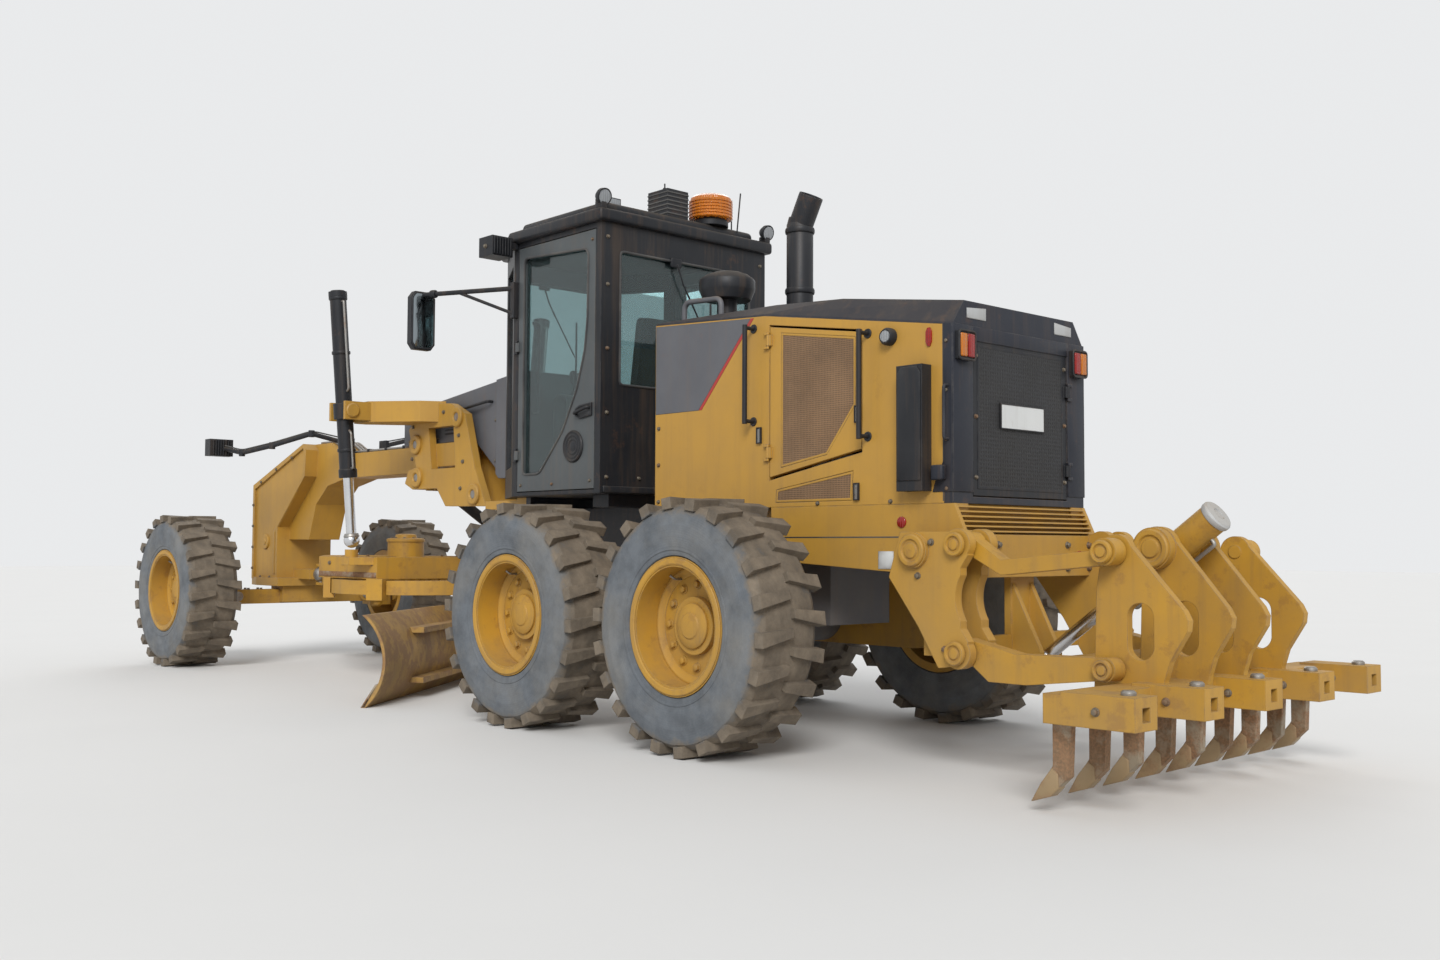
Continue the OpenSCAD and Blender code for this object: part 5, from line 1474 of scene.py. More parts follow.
@dataclass
class Stacks:
    """The exhaust with its slanted tip, and the air cleaner's ribbed head."""

    pipe: Pair = (-0.420, 0.0)
    pipe_radius: float = 0.080
    pipe_wall: float = 0.006
    cleaner: Pair = (-0.060, 0.260)
    vanes: int = 32
    kit: Kit = Kit("rear")

    def build(self) -> None:
        """Make the exhaust and the air cleaner in place of the plain solids."""
        exhaust = self.exhaust()
        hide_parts("stacks")
        self.clamps()
        self.cleaner_head()

    def exhaust(self) -> bpy.types.Object:
        """Make the exhaust's hollow pipe, its elbow and its tip.

        Returns:
            The tip.
        """
        x, y = self.pipe
        radius = self.pipe_radius
        lean = math.radians(28)
        self.kit.spun("exhaust_pipe", [
            (radius - self.pipe_wall, 0.0), (radius, 0.0), (radius, 0.60), (radius - 0.008, 0.612),
            (radius - 0.014, 0.60)], (x, y, 2.405), Stock.BLACK, UP, 48)
        tip = self.kit.spun("exhaust_tip", [
            (0.064, -0.01), (0.074, -0.01), (0.074, 0.205), (0.072, 0.210), (0.066, 0.210), (0.064, 0.205)],
            (x + 0.005, y, 2.980), Stock.BLACK, (-math.sin(lean), 0, math.cos(lean)), 48)
        self.kit.spun("exhaust_elbow", [
            (0, -0.03), (0.0785, -0.03), (0.0785, 0.02), (0.0755, 0.055), (0.06, 0.06), (0, 0.06)],
            (x + 0.002, y, 2.985), Stock.BLACK, (-math.sin(lean / 2), 0, math.cos(lean / 2)), 48)
        return tip

    def clamps(self) -> None:
        """Make the exhaust's band clamps and foot flange."""
        x, y = self.pipe
        for number, z in enumerate((2.60, 2.965)):
            self.kit.spun(f"exhaust_clamp_{number}", [
                (0.078, -0.016), (0.086, -0.016), (0.089, -0.008), (0.089, 0.008), (0.086, 0.016), (0.078, 0.016)],
                (x, y, z), Stock.BLACK, UP)
        self.kit.spun("exhaust_foot", [
            (0.078, 0.0), (0.13, 0.0), (0.128, 0.012), (0.10, 0.016), (0.088, 0.05), (0.078, 0.05)],
            (x, y, 2.410), Stock.BLACK, UP)

    def cleaner_head(self) -> None:
        """Make the air cleaner's neck, its round head and the vanes round it."""
        x, y = self.cleaner
        self.kit.spun("cleaner_neck", [
            (0, 0), (0.085, 0), (0.083, 0.012), (0.062, 0.02), (0.060, 0.15), (0, 0.15)],
            (x, y, 2.418), Stock.BLACK, UP)
        self.kit.spun("cleaner_head", [
            (0, 0.0), (0.145, 0.0), (0.168, 0.055), (0.170, 0.062), (0.170, 0.115), (0.162, 0.128),
            (0.13, 0.152), (0.088, 0.168), (0.05, 0.170), (0, 0.170)], (x, y, 2.560), Stock.BLACK, UP, 56)
        vane = self.kit.block("vane", (FRAME_X + 0.158, -0.004, 0.0), (FRAME_X + 0.1695, 0.004, 0.05), edge=0.001)
        self.kit.dress(Bench.around("cleaner_vanes", vane, (x, y, 2.622), "Z", self.vanes), Stock.BLACK)


@dataclass
class Cab:
    """Roof, glass, seals, door fittings, mirrors' glass, lamps, aerials and what stands inside."""

    half_width: float = 0.710
    rear: float = 0.600
    corner: float = 1.550
    front: float = 2.050
    front_half: float = 0.430
    floor: float = 1.4605
    wheel_middle: Point = (1.555, 0, 2.155)
    wheel_axis: Point = (-0.80, 0, 0.60)
    pane: tuple[Pair, ...] = (
        (1.430, 1.540), (1.240, 1.540), (0.990, 1.800), (0.840, 2.060), (0.760, 2.300), (0.735, 2.500),
        (0.730, 2.900), (0.755, 2.940), (1.430, 2.980))
    mirror_rim: tuple[Pair, ...] = (
        (0.965, 2.455), (0.99, 2.42), (1.105, 2.42), (1.130, 2.455), (1.130, 2.765), (1.105, 2.80), (0.99, 2.80),
        (0.965, 2.765))
    kit: Kit = Kit("front")

    def build(self) -> None:
        """Make everything on and in the cab."""
        self.roof()
        for side in SIDES:
            kit = Kit("front", side)
            self.door(kit.on(f"cab_door_{kit.tag}"))
            self.mirror(kit)
            self.side_lamp(kit)
            self.headlamp(kit)
        self.seals()
        self.beacon()
        self.roof_fittings()
        self.interior()
        self.steering()
        self.wipers()

    def plan(self, grow: float) -> list[Pair]:
        """Give the cab's plan.

        Args:
            grow: how far it stands out beyond the walls.

        Returns:
            The plan's points.
        """
        shift = grow * 0.75
        half = [(self.rear - grow, self.half_width + grow), (self.corner + shift * 0.4, self.half_width + grow),
                (self.front + grow, self.front_half + shift)]
        return [(x, -y) for x, y in half] + half[::-1]

    def roof(self) -> None:
        """Make the roof with its rounded upper shell."""
        brim = Bench.plate("roof_brim", self.plan(0.040), Plane.XY, 3.0903, 3.170, 0.022, 4)
        crown = Bench.plate("roof_crown", self.plan(-0.055), Plane.XY, 3.160, 3.2400, 0.036, 5)
        self.kit.dress(brim, Stock.BLACK)
        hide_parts("cab_roof")
        self.kit.dress(crown, Stock.BLACK)
        ribs = [self.kit.block(f"rib_{k}", (0.78, -0.45 + 0.18 * k, 3.236), (1.80, -0.43 + 0.18 * k, 3.246))
                for k in range(6)]
        self.kit.join("roof_ribs", ribs, Stock.BLACK)

    def door(self, kit: Kit) -> None:
        """Make a door's pane, seal, handle, lock, air vent and grab bar.

        Args:
            kit: the door's kit.
        """
        tag, wall = kit.tag, self.half_width
        middle = [sum(values) / len(self.pane) for values in zip(*self.pane)]
        grown = [tuple(v + 0.006 * (1 if v > m else -1) for v, m in zip(point, middle)) for point in self.pane]
        kit.plate(f"door_pane_{tag}", grown, wall - 0.029, wall - 0.022, Stock.GLASS)
        kit.tube(f"door_seal_{tag}", [(x, wall, z) for x, z in self.pane], 0.008, Stock.RUBBER_TRIM, 0.04, loop=True)
        kit.tube(f"door_handle_{tag}", [
            (0.695, wall - 0.002, 1.935), (0.695, wall + 0.034, 1.935), (0.83, wall + 0.034, 1.905),
            (0.83, wall - 0.002, 1.905)], 0.011, Stock.BLACK, 0.02)
        kit.framed(f"door_lock_{tag}", [
            (0.68, 1.885), (0.80, 1.87), (0.845, 1.89), (0.845, 1.935), (0.80, 1.955), (0.68, 1.965)],
            wall - 0.002, wall + 0.012, (Stock.BLACK, Stock.PLASTIC), "black_paint", 0.012, 0.005)
        kit.spun(f"door_vent_{tag}", [
            (0, -0.002), (0.102, -0.002), (0.102, 0.006), (0.094, 0.014), (0.082, 0.008), (0.070, 0.012),
            (0.058, 0.006), (0.046, 0.011), (0.034, 0.005), (0.020, 0.010), (0, 0.010)],
            (0.872, wall, 1.70), Stock.BLACK, steps=44)
        spots = ((0.70, 1.48), (1.10, 1.47), (1.45, 1.47), (0.69, 2.99))
        kit.bolts(f"door_bolts_{tag}", 0.008, [(x, wall, z) for x, z in spots])
        kit.tube(f"door_grab_{tag}", [
            (1.40, 0.655, 2.55), (1.40, 0.61, 2.55), (1.40, 0.61, 1.95), (1.40, 0.655, 1.95)],
            0.011, Stock.BLACK, 0.03)

    def seals(self) -> None:
        """Make the rubber seals round the fixed panes, the rear wall's bolts and its sill."""
        for name, x, half, low, high in (
            ("front_seal", self.front, 0.37, 1.60, 2.96), ("rear_seal", self.rear, 0.56, 2.08, 2.92)
        ):
            route = [(x, y, z) for y, z in rectangle(-half, low, half, high)]
            self.kit.tube(name, route, 0.008, Stock.RUBBER_TRIM, 0.03, loop=True)
        spots = [(self.rear, y, z) for y in (-0.66, 0.66) for z in (1.5, 1.9, 2.3, 2.7, 3.0)]
        spots += [(self.rear, y, 1.5) for y in (-0.4, 0.0, 0.4)]
        self.kit.bolts("cab_rear_bolts", 0.010, spots, BACK)
        self.kit.block("cab_sill_rear", (0.585, -0.69, 1.405), (0.602, 0.69, 1.445), Stock.BLACK, 0.005)

    def mirror(self, kit: Kit) -> None:
        """Make a mirror's glass, rim and clamp.

        Args:
            kit: the side's kit.
        """
        tag = kit.tag
        kit.plate(f"mirror_glass_{tag}", self.mirror_rim, 2.1455, 2.151, Stock.MIRROR, 0.001, plane=Plane.YZ)
        kit.tube(f"mirror_rim_{tag}", [(2.150, y, z) for y, z in self.mirror_rim], 0.007, Stock.BLACK, 0.015,
                 loop=True)
        kit.spun(f"mirror_clamp_{tag}", [
            (0.014, -0.02), (0.026, -0.02), (0.028, -0.012), (0.028, 0.012), (0.026, 0.02), (0.014, 0.02)],
            (2.08, 1.0103, 2.79), Stock.BLACK, (0.895, 0.446, 0), 24)

    def fins(self, name: str, low: Point, high: Point, pitch: float, count: int) -> None:
        """Make a row of cooling fins across a lamp's back.

        Args:
            name: the row's name.
            low: the first fin's lowest corner.
            high: the first fin's highest corner.
            pitch: the step from fin to fin.
            count: the number of fins.
        """
        fins = [self.kit.block(f"fin_{k}", (low[0], low[1] + pitch * k, low[2]),
                               (high[0], high[1] + pitch * k, high[2]), edge=0.001, segments=1)
                for k in range(count)]
        self.kit.join(name, fins, Stock.BLACK)

    def side_lamp(self, kit: Kit) -> None:
        """Make the lens, fins and tilt bolt of a lamp beside the roof.

        Args:
            kit: the side's kit.
        """
        tag, inner, outer = kit.tag, 0.770, 0.910
        kit.block(f"roof_lamp_lens_{tag}", (1.658, inner, 3.0), (1.668, outer, 3.11), Stock.CLEAR)
        start = kit.span(inner, outer)[0]
        self.fins(f"roof_lamp_fins_{tag}", (1.486, start + 0.008, 2.998), (1.503, start + 0.016, 3.112), 0.021, 7)
        kit.bolts(f"roof_lamp_bolt_{tag}", 0.012, [(1.58, 0.920, 3.055)])

    def headlamp(self, kit: Kit) -> None:
        """Make a headlamp's lens, its fins and the wiring along its arm.

        Args:
            kit: the side's kit.
        """
        tag, inner, outer = kit.tag, 0.792, 0.978
        kit.block(f"headlamp_lens_{tag}", (5.988, inner, 1.872), (5.999, outer, 1.998), Stock.CLEAR, 0.005)
        start = kit.span(inner, outer)[0]
        self.fins(f"headlamp_fins_{tag}", (5.868, start + 0.006, 1.868), (5.883, start + 0.016, 2.002), 0.0225, 8)
        kit.tube(f"lamp_lead_{tag}", [
            (4.86, 0.17, 1.99), (4.955, 0.478, 2.055), (5.245, 0.70, 1.957), (5.64, 0.80, 1.907),
            (5.88, 0.855, 1.955)], 0.006, Stock.RUBBER_TRIM, 0.06)

    def beacon(self) -> None:
        """Make the beacon: black foot, ribbed amber drum and rounded top."""
        self.kit.spun("beacon_foot", button(0.12, 0, 0.035, 0.105, 0.05, 0.05), (0.740, -0.330, 3.2403),
                      Stock.BLACK, UP)
        section = [(0, 0.0), (0.142, 0.0)]
        for k in range(6):
            z = 0.006 + 0.021 * k
            section += [(0.150, z), (0.150, z + 0.012), (0.144, z + 0.0165)]
        section += [(0.140, 0.142), (0.118, 0.158), (0.08, 0.160), (0, 0.160)]
        drum = self.kit.spun("beacon_drum", section, (0.740, -0.330, 3.290), Stock.AMBER, UP, 56)
        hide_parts("beacon")

    def roof_fittings(self) -> None:
        """Make the radio box's ribs, the aerials, the corner lamps and the work lamp's lens."""
        ribs = [self.kit.block(f"box_rib_{k}", (0.695, -0.094, 3.262 + 0.028 * k), (0.905, 0.094, 3.272 + 0.028 * k),
                               edge=0.003) for k in range(6)]
        self.kit.dress(Bench.joined("radio_box_ribs", ribs), Stock.PLASTIC, "black_paint")
        self.kit.block("work_lamp_lens", (1.321, -0.010, 3.408), (1.332, 0.110, 3.482), Stock.CLEAR)
        for side in SIDES:
            self.corner_lamp(Kit("front", side))
        rows = {
            "aerial_box": [(0.80, 0.03, 3.425), (0.80, 0.03, 3.487)],
            "aerial_right": [(0.80, -0.58, 3.165), (0.80, -0.58, 3.484)],
            "aerial_rear": [(0.665, -0.50, 3.165), (0.655, -0.50, 3.25), (0.625, -0.50, 3.484)]}
        for name, route in rows.items():
            x, y, z = route[0]
            self.kit.tube(name, route, 0.005, Stock.BLACK, 0.03)
            self.kit.spun(f"{name}_base", [
                (0, 0), (0.022, 0), (0.020, 0.012), (0.010, 0.03), (0, 0.03)], (x, y, z + 0.003), Stock.BLACK, UP, 24)

    def corner_lamp(self, kit: Kit) -> None:
        """Make the work lamp on one rear corner of the roof.

        Args:
            kit: the side's kit.
        """
        tag, place, way = kit.tag, (0.628, 0.712, 3.250), (-1, 0, -0.25)
        foot = kit.block(f"corner_lamp_foot_{tag}", (0.572, 0.690, 3.160), (0.640, 0.735, 3.215), edge=0.006)
        head = kit.spun(f"corner_lamp_{tag}", [
            (0, 0.0), (0.030, 0.0), (0.052, 0.035), (0.054, 0.062), (0.048, 0.066), (0.046, 0.058), (0, 0.052)],
            place, out=way, steps=32)
        kit.join(f"corner_lamp_{tag}", [foot, head], Stock.BLACK)
        kit.spun(f"corner_lamp_lens_{tag}", [(0, 0.050), (0.0465, 0.056), (0.044, 0.064), (0, 0.068)],
                 place, Stock.CLEAR, way, 32)

    def interior(self) -> None:
        """Make the seat and its arm pods in place of the plain solids."""
        plinth = self.kit.block("seat_plinth", (0.92, -0.21, self.floor), (1.24, 0.21, 1.80), Stock.PLASTIC, 0.02, 3)
        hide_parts("cab_interior")
        self.pad("seat_cushion", (0.875, -0.255, 1.79), (1.345, 0.255, 1.915), 0.0)
        self.pad("seat_back", (0.845, -0.235, 1.90), (0.955, 0.235, 2.58), -8.0)
        for side in SIDES:
            self.arm_pod(Kit("front", side))

    def arm_pod(self, kit: Kit) -> None:
        """Make one arm pod with its bracket and levers.

        Args:
            kit: the side's kit.
        """
        tag = kit.tag
        kit.block(f"arm_pod_{tag}", (0.955, 0.292, 1.845), (1.415, 0.378, 2.095), Stock.PLASTIC, 0.025, 4)
        kit.block(f"pod_bracket_{tag}", (0.955, 0.235, 1.845), (1.045, 0.300, 1.905), Stock.PLASTIC, 0.008)
        kit.spun(f"hand_lever_{tag}", [
            (0, 0), (0.034, 0), (0.030, 0.015), (0.012, 0.035), (0.012, 0.075), (0.024, 0.10), (0.028, 0.145),
            (0.018, 0.17), (0, 0.172)], (1.36, 0.335, 2.088), Stock.BLACK, (0.15, 0, 1), 28)
        for number in range(3):
            kit.spun(f"small_lever_{tag}_{number}", [
                (0, 0), (0.006, 0), (0.006, 0.05), (0.014, 0.06), (0.014, 0.08), (0, 0.085)],
                (1.12 + 0.06 * number, 0.335, 2.09), Stock.BLACK, (0.1, 0, 1), 20)

    def steering(self) -> None:
        """Make the console, the steering column and wheel, and the floor mat."""
        kit, middle, axis = self.kit, self.wheel_middle, self.wheel_axis
        kit.plate("front_console", [
            (1.70, self.floor), (1.88, self.floor), (1.88, 2.12), (1.82, 2.16), (1.715, 2.06)],
            -0.145, 0.145, Stock.PLASTIC, 0.015, 3)
        kit.tube("steering_column", [(1.80, 0, 2.08), (1.62, 0, 2.12), (1.56, 0, 2.15)], 0.026, Stock.BLACK)
        wheel = kit.spun("steering_wheel", [
            (0.172, -0.010), (0.186, -0.012), (0.195, 0), (0.186, 0.012), (0.172, 0.010)], middle, out=axis, steps=48)
        hub = kit.spun("steering_hub", [
            (0, -0.012), (0.04, -0.012), (0.045, 0.008), (0.03, 0.02), (0, 0.022)], middle, out=axis, steps=32)
        spokes = [kit.tube(f"spoke_{k}", [middle, (
            middle[0] + 0.6 * 0.18 * math.cos(a), 0.18 * math.sin(a), middle[2] + 0.8 * 0.18 * math.cos(a))], 0.009)
            for k, a in enumerate((0.0, 2.2, 4.08))]
        kit.join("steering_wheel", [wheel, hub, *spokes], Stock.PLASTIC)
        kit.block("floor_mat", (0.70, -0.58, 1.4603), (1.68, 0.58, 1.468), Stock.RUBBER_TRIM, 0.002, 1, "seat")

    def pad(self, name: str, low: Point, high: Point, lean: float) -> None:
        """Make a crowned cushion with pulled-in sides.

        Args:
            name: the cushion's name.
            low: its lowest corner.
            high: its highest corner.
            lean: its tilt about the machine's Y axis through its foot, in degrees.
        """
        Bench.clear()
        bpy.ops.mesh.primitive_cube_add(size=1)
        piece = bpy.context.object
        a, b = placed(low), placed(high)
        piece.scale = b - a
        piece.location = (a + b) / 2
        bpy.ops.object.transform_apply(location=True, rotation=True, scale=True)
        Bench.open(piece)
        bpy.ops.mesh.subdivide(number_cuts=7)
        bpy.ops.object.mode_set(mode="OBJECT")
        middle, half = (a + b) / 2, (b - a) / 2
        thin = min(range(3), key=lambda i: half[i])
        wide = [i for i in range(3) if i != thin]
        tilt = math.radians(lean)
        for vertex in piece.data.vertices:
            across = [abs((vertex.co[i] - middle[i]) / half[i]) for i in wide]
            crown = (1 - across[0] ** 4) * (1 - across[1] ** 4)
            depth = vertex.co[thin] - middle[thin]
            vertex.co[thin] = middle[thin] + depth * (0.72 + 0.28 * crown)
            waist = 1 - 0.03 * (1 - abs(depth / half[thin]) ** 2)
            for i in wide:
                vertex.co[i] = middle[i] + (vertex.co[i] - middle[i]) * waist
            if lean:
                x, z = vertex.co[0] - middle[0], vertex.co[2] - a[2]
                vertex.co[0] = middle[0] + x * math.cos(tilt) + z * math.sin(tilt)
                vertex.co[2] = a[2] - x * math.sin(tilt) + z * math.cos(tilt)
        Bench.hold([piece])
        bpy.ops.object.modifier_add(type="SUBSURF")
        piece.modifiers[-1].levels = 1
        piece.modifiers[-1].render_levels = 1
        bpy.ops.object.modifier_apply(modifier=piece.modifiers[-1].name)
        Bench.close(piece, name, 60)
        self.kit.dress(piece, Stock.SEAT)

    def wipers(self) -> None:
        """Make the wipers of the front and rear panes."""
        y, kit = 0.10, self.kit
        for name, x, z, way in (
            ("rear_wiper", self.rear - 0.014, 2.90, -1), ("front_wiper", self.front + 0.014, 2.95, 1)
        ):
            near, far = sorted((x, x - way * 0.016))
            arm = kit.tube(f"{name}_arm", [(x, y, z), (x, y - 0.05, z - 0.12), (x, y - 0.28, z - 0.48)], 0.006,
                           bend=0.03)
            blade = kit.block(f"{name}_rubber", (x - 0.004, y - 0.30, z - 0.72), (x + 0.004, y - 0.285, z - 0.22),
                              edge=0.002, segments=1)
            motor = kit.block(f"{name}_motor", (near, y - 0.04, z - 0.02), (far + 0.004, y + 0.05, z + 0.04),
                              edge=0.006)
            kit.join(name, [arm, blade, motor], Stock.BLACK)


@dataclass
class FrontFrame:
    """Nose bolts, pipes along the beam, the cover's vents, step treads and the hinge's caps."""

    beam_top: float = 1.870
    shelf_top: float = 1.985
    cheek: float = 0.268
    cover_half: float = 0.250
    cover_slope: float = (2.130 - 2.290) / (3.780 - 2.380)
    lid_start: float = 2.42

    def build(self) -> None:
        """Dress the front frame."""
        for side in SIDES:
            kit = Kit("front", side)
            self.cheeks(kit)
            self.pipes(kit)
            self.cover_side(kit)
            self.steps(kit)
        self.middle(Kit("front"))

    def cheeks(self, kit: Kit) -> None:
        """Make the nose's bolts, its round boss and its rib.

        Args:
            kit: the side's kit.
        """
        spots = [(6.582, z) for z in (0.85, 1.05, 1.25, 1.45)]
        spots += [(6.42, 1.665), (6.10, 1.775), (5.78, 1.87), (6.20, 0.77), (6.40, 0.77)]
        kit.bolts(f"nose_bolts_{kit.tag}", 0.011, [(x, self.cheek, z) for x, z in spots])
        kit.spun(f"nose_boss_{kit.tag}", [
            (0, -0.005), (0.07, -0.005), (0.07, 0.010), (0.062, 0.016), (0.03, 0.016), (0.026, 0.022), (0, 0.022)],
            (6.33, 0.250, 1.10), Stock.FRAME_YELLOW)
        kit.plate(f"nose_rib_{kit.tag}", [
            (6.12, 0.80), (6.16, 0.80), (6.16, 1.20), (5.70, 1.60), (5.66, 1.57), (6.12, 1.18)],
            0.249, 0.262, Stock.FRAME_YELLOW, 0.003)

    def pipes(self, kit: Kit) -> None:
        """Make the hydraulic pipes that run along the beam's top edge, with their clamps.

        Args:
            kit: the side's kit.
        """
        low, high = self.beam_top + 0.014, self.shelf_top + 0.012
        pipes = [kit.tube(f"pipe_{k}", [
            (x, 0.045 + 0.034 * k, z) for x, z in ((3.770, low), (4.99, low), (5.235, high), (5.50, high))], 0.011)
            for k in range(3)]
        kit.join(f"beam_pipes_{kit.tag}", pipes, Stock.STEEL)
        clamps = [kit.block(f"clamp_{k}", (4.0 + 0.3 * k, 0.028, self.beam_top - 0.001),
                            (4.03 + 0.3 * k, 0.130, self.beam_top + 0.031), edge=0.003) for k in range(4)]
        kit.join(f"pipe_clamps_{kit.tag}", clamps, Stock.BLACK)

    def cover_side(self, kit: Kit) -> None:
        """Make the front cover's vents, grab bar, latch and bolts on one side.

        Args:
            kit: the side's kit.
        """
        tag, wall = kit.tag, self.cover_half
        vents = [kit.plate(f"vent_{k}", rectangle(2.86, 1.93 + 0.028 * k, 3.16, 1.942 + 0.028 * k),
                           wall - 0.001, wall + 0.004, edge=0.002) for k in range(7)]
        kit.join(f"cover_vents_{tag}", vents, Stock.BLACK)
        kit.tube(f"cover_bar_{tag}", [
            (2.50, wall - 0.002, 2.14), (2.50, wall + 0.045, 2.14), (3.35, wall + 0.045, 2.06),
            (3.35, wall - 0.002, 2.06)], 0.011, Stock.BLACK, 0.03)
        kit.framed(f"cover_latch_{tag}", rectangle(3.52, 1.93, 3.60, 1.98), wall - 0.001, wall + 0.012,
                   (Stock.BLACK, Stock.STEEL), "black_paint", 0.008, 0.006)
        spots = ((2.45, 1.70), (2.45, 2.0), (2.75, 1.905), (3.25, 1.905), (3.70, 1.905))
        kit.bolts(f"cover_bolts_{tag}", 0.009, [(x, wall, z) for x, z in spots])

    def middle(self, kit: Kit) -> None:
        """Make the cover's lid with its grip strips, the push block's bolts and the pivot and hinge caps.

        Args:
            kit: the front body's kit.
        """
        start, slope = self.lid_start, self.cover_slope
        kit.plate("cover_lid", [
            (start, 2.2845), (3.76, 2.2845 + slope * 1.34), (3.76, 2.2975 + slope * 1.34), (start, 2.2975)],
            -0.235, 0.235, Stock.GREY, 0.005, 3)
        strips = []
        for k in range(6):
            x = 2.60 + 0.18 * k
            z = 2.297 + slope * (x - start)
            strips.append(kit.block(f"strip_{k}", (x, -0.20, z - 0.006), (x + 0.035, 0.20, z + 0.002),
                                    edge=0.002, segments=1))
        kit.join("cover_grips", strips, Stock.BLACK)
        spots = [(6.628, y, z) for y in (-0.20, -0.10, 0.10, 0.20) for z in (0.712, 0.745)]
        kit.bolts("push_block_bolts", 0.010, spots, AHEAD)
        kit.spun("axle_pivot_cap", [
            (0, -0.004), (0.075, -0.004), (0.075, 0.006), (0.066, 0.010), (0.03, 0.010), (0, 0.012)],
            (6.241, 0, 0.618), Stock.LOW_YELLOW, AHEAD)
        for name, z, way in (("hinge_cap_top", 1.248, 1), ("hinge_cap_low", 0.987, -1)):
            kit.spun(name, [(0, 0), (0.058, 0), (0.058, 0.012), (0.05, 0.018), (0.02, 0.018), (0, 0.02)],
                     (0.430, 0, z), Stock.STEEL, (0, 0, way))

    def steps(self, kit: Kit) -> None:
        """Make the studs on the cab steps' treads.

        Args:
            kit: the side's kit.
        """
        treads = ((0.650, 0.545), (0.870, 0.520), (1.090, 0.492))
        studs = [kit.at((1.895 + 0.05 * k, inner + row, height + 0.025))
                 for height, inner in treads for k in range(5) for row in (0.03, 0.08)]
        pattern = Bench.turned("stud", [(0, -0.001), (0.011, -0.001), (0.009, 0.006), (0.005, 0.006), (0, 0.004)],
                               (0, 0, 0), UP, 12, local=True)
        joined = Bench.repeated(f"tread_studs_{kit.tag}", pattern, [Matrix.Translation(placed(p)) for p in studs])
        kit.dress(joined, Stock.FRAME_YELLOW)


@dataclass
class LiftGear:
    """Saddle bosses and bolts, and the glands, bands, caps and pipes of the lift cylinders."""

    x: float = 3.590
    collar: Pair = (0.880, 2.100)
    eye: Pair = (0.800, 1.110)
    cheek: float = 0.360

    def build(self) -> None:
        """Dress both sides."""
        for side in SIDES:
            kit = Kit("front", side)
            self.saddle(kit)
            self.cylinder(kit.on(f"lift_barrel_{kit.tag}"))

    @property
    def way(self) -> Vector:
        """Give the left lift cylinder's upward direction."""
        return Vector((0, self.collar[0] - self.eye[0], self.collar[1] - self.eye[1])).normalized()

    def spot(self, along: float, behind: float = 0.0) -> Point:
        """Give a place on or behind the left lift cylinder.

        Args:
            along: the distance from the collar, upward.
            behind: how far it lies behind the axis.

        Returns:
            The place on the machine's axes.
        """
        return (self.x - behind, self.collar[0] + self.way[1] * along, self.collar[1] + self.way[2] * along)

    def saddle(self, kit: Kit) -> None:
        """Make the saddle's ring bosses, bolts and collar caps.

        Args:
            kit: the side's kit.
        """
        tag = kit.tag
        ring = [(0.032, -0.004), (0.078, -0.004), (0.078, 0.016), (0.070, 0.024), (0.040, 0.024), (0.032, 0.016)]
        for number, (x, z) in enumerate(((3.40, 1.86), (2.80, 2.04), (3.38, 1.60), (2.56, 1.45))):
            kit.spun(f"saddle_boss_{tag}_{number}", ring, (x, self.cheek, z), Stock.FRAME_YELLOW)
            kit.spun(f"saddle_pin_{tag}_{number}", button(0.034, -0.004, 0.010, 0.028, 0.016, 0.016),
                     (x, self.cheek, z), Stock.STEEL, steps=28)
        spots = ((2.75, 1.50), (2.72, 1.70), (2.78, 1.90), (3.00, 2.09), (3.20, 2.10), (3.45, 2.00), (3.46, 1.75))
        kit.bolts(f"saddle_bolts_{tag}", 0.012, [(x, self.cheek, z) for x, z in spots])
        for number, way in enumerate((-1, 1)):
            kit.spun(f"collar_cap_{tag}_{number}", button(0.055, -0.0004, 0.010, 0.046, 0.017, 0.017),
                     (self.x + way * 0.130, *self.collar), Stock.FRAME_YELLOW, (way, 0, 0), 32)

    def cylinder(self, kit: Kit) -> None:
        """Make a lift cylinder's gland, bands, head cap, pipes and eye ring.

        Args:
            kit: the barrel's kit.
        """
        tag, way = kit.tag, self.way
        kit.spun(f"lift_gland_{tag}", [
            (0.040, -0.012), (0.066, -0.012), (0.070, -0.004), (0.070, 0.05), (0.064, 0.058), (0.058, 0.058),
            (0.058, 0.0), (0.040, 0.0)], self.spot(-0.500), Stock.BLACK, way, 48)
        for number, along in enumerate((-0.30, 0.45, 0.87)):
            kit.spun(f"lift_band_{tag}_{number}", [
                (0.060, -0.012), (0.068, -0.012), (0.070, -0.006), (0.070, 0.006), (0.068, 0.012), (0.060, 0.012)],
                self.spot(along), Stock.BLACK, way, 48)
        kit.spun(f"lift_head_{tag}", [(0, 0), (0.058, 0), (0.052, 0.012), (0.02, 0.016), (0, 0.016)],
                 self.spot(0.9175), Stock.BLACK, way)
        near, far = 0.060, 0.088
        pipes = [kit.tube(name, [self.spot(*place) for place in route], 0.009, bend=0.02) for name, route in (
            (f"lift_pipe_{tag}", ((-0.44, near), (-0.44, far), (-0.17, far), (-0.15, near))),
            (f"lift_pipe_upper_{tag}", ((0.15, near), (0.17, far), (0.84, far), (0.84, near))))]
        kit.join(f"lift_pipes_{tag}", pipes, Stock.STEEL)
        reach = math.hypot(self.collar[0] - self.eye[0], self.collar[1] - self.eye[1])
        kit.on(f"lift_rod_{tag}").spun(f"lift_eye_ring_{tag}", [
            (0.045, 0.035), (0.056, 0.022), (0.060, 0.030), (0.052, 0.050), (0.045, 0.052)],
            self.spot(-reach), Stock.STEEL, way)


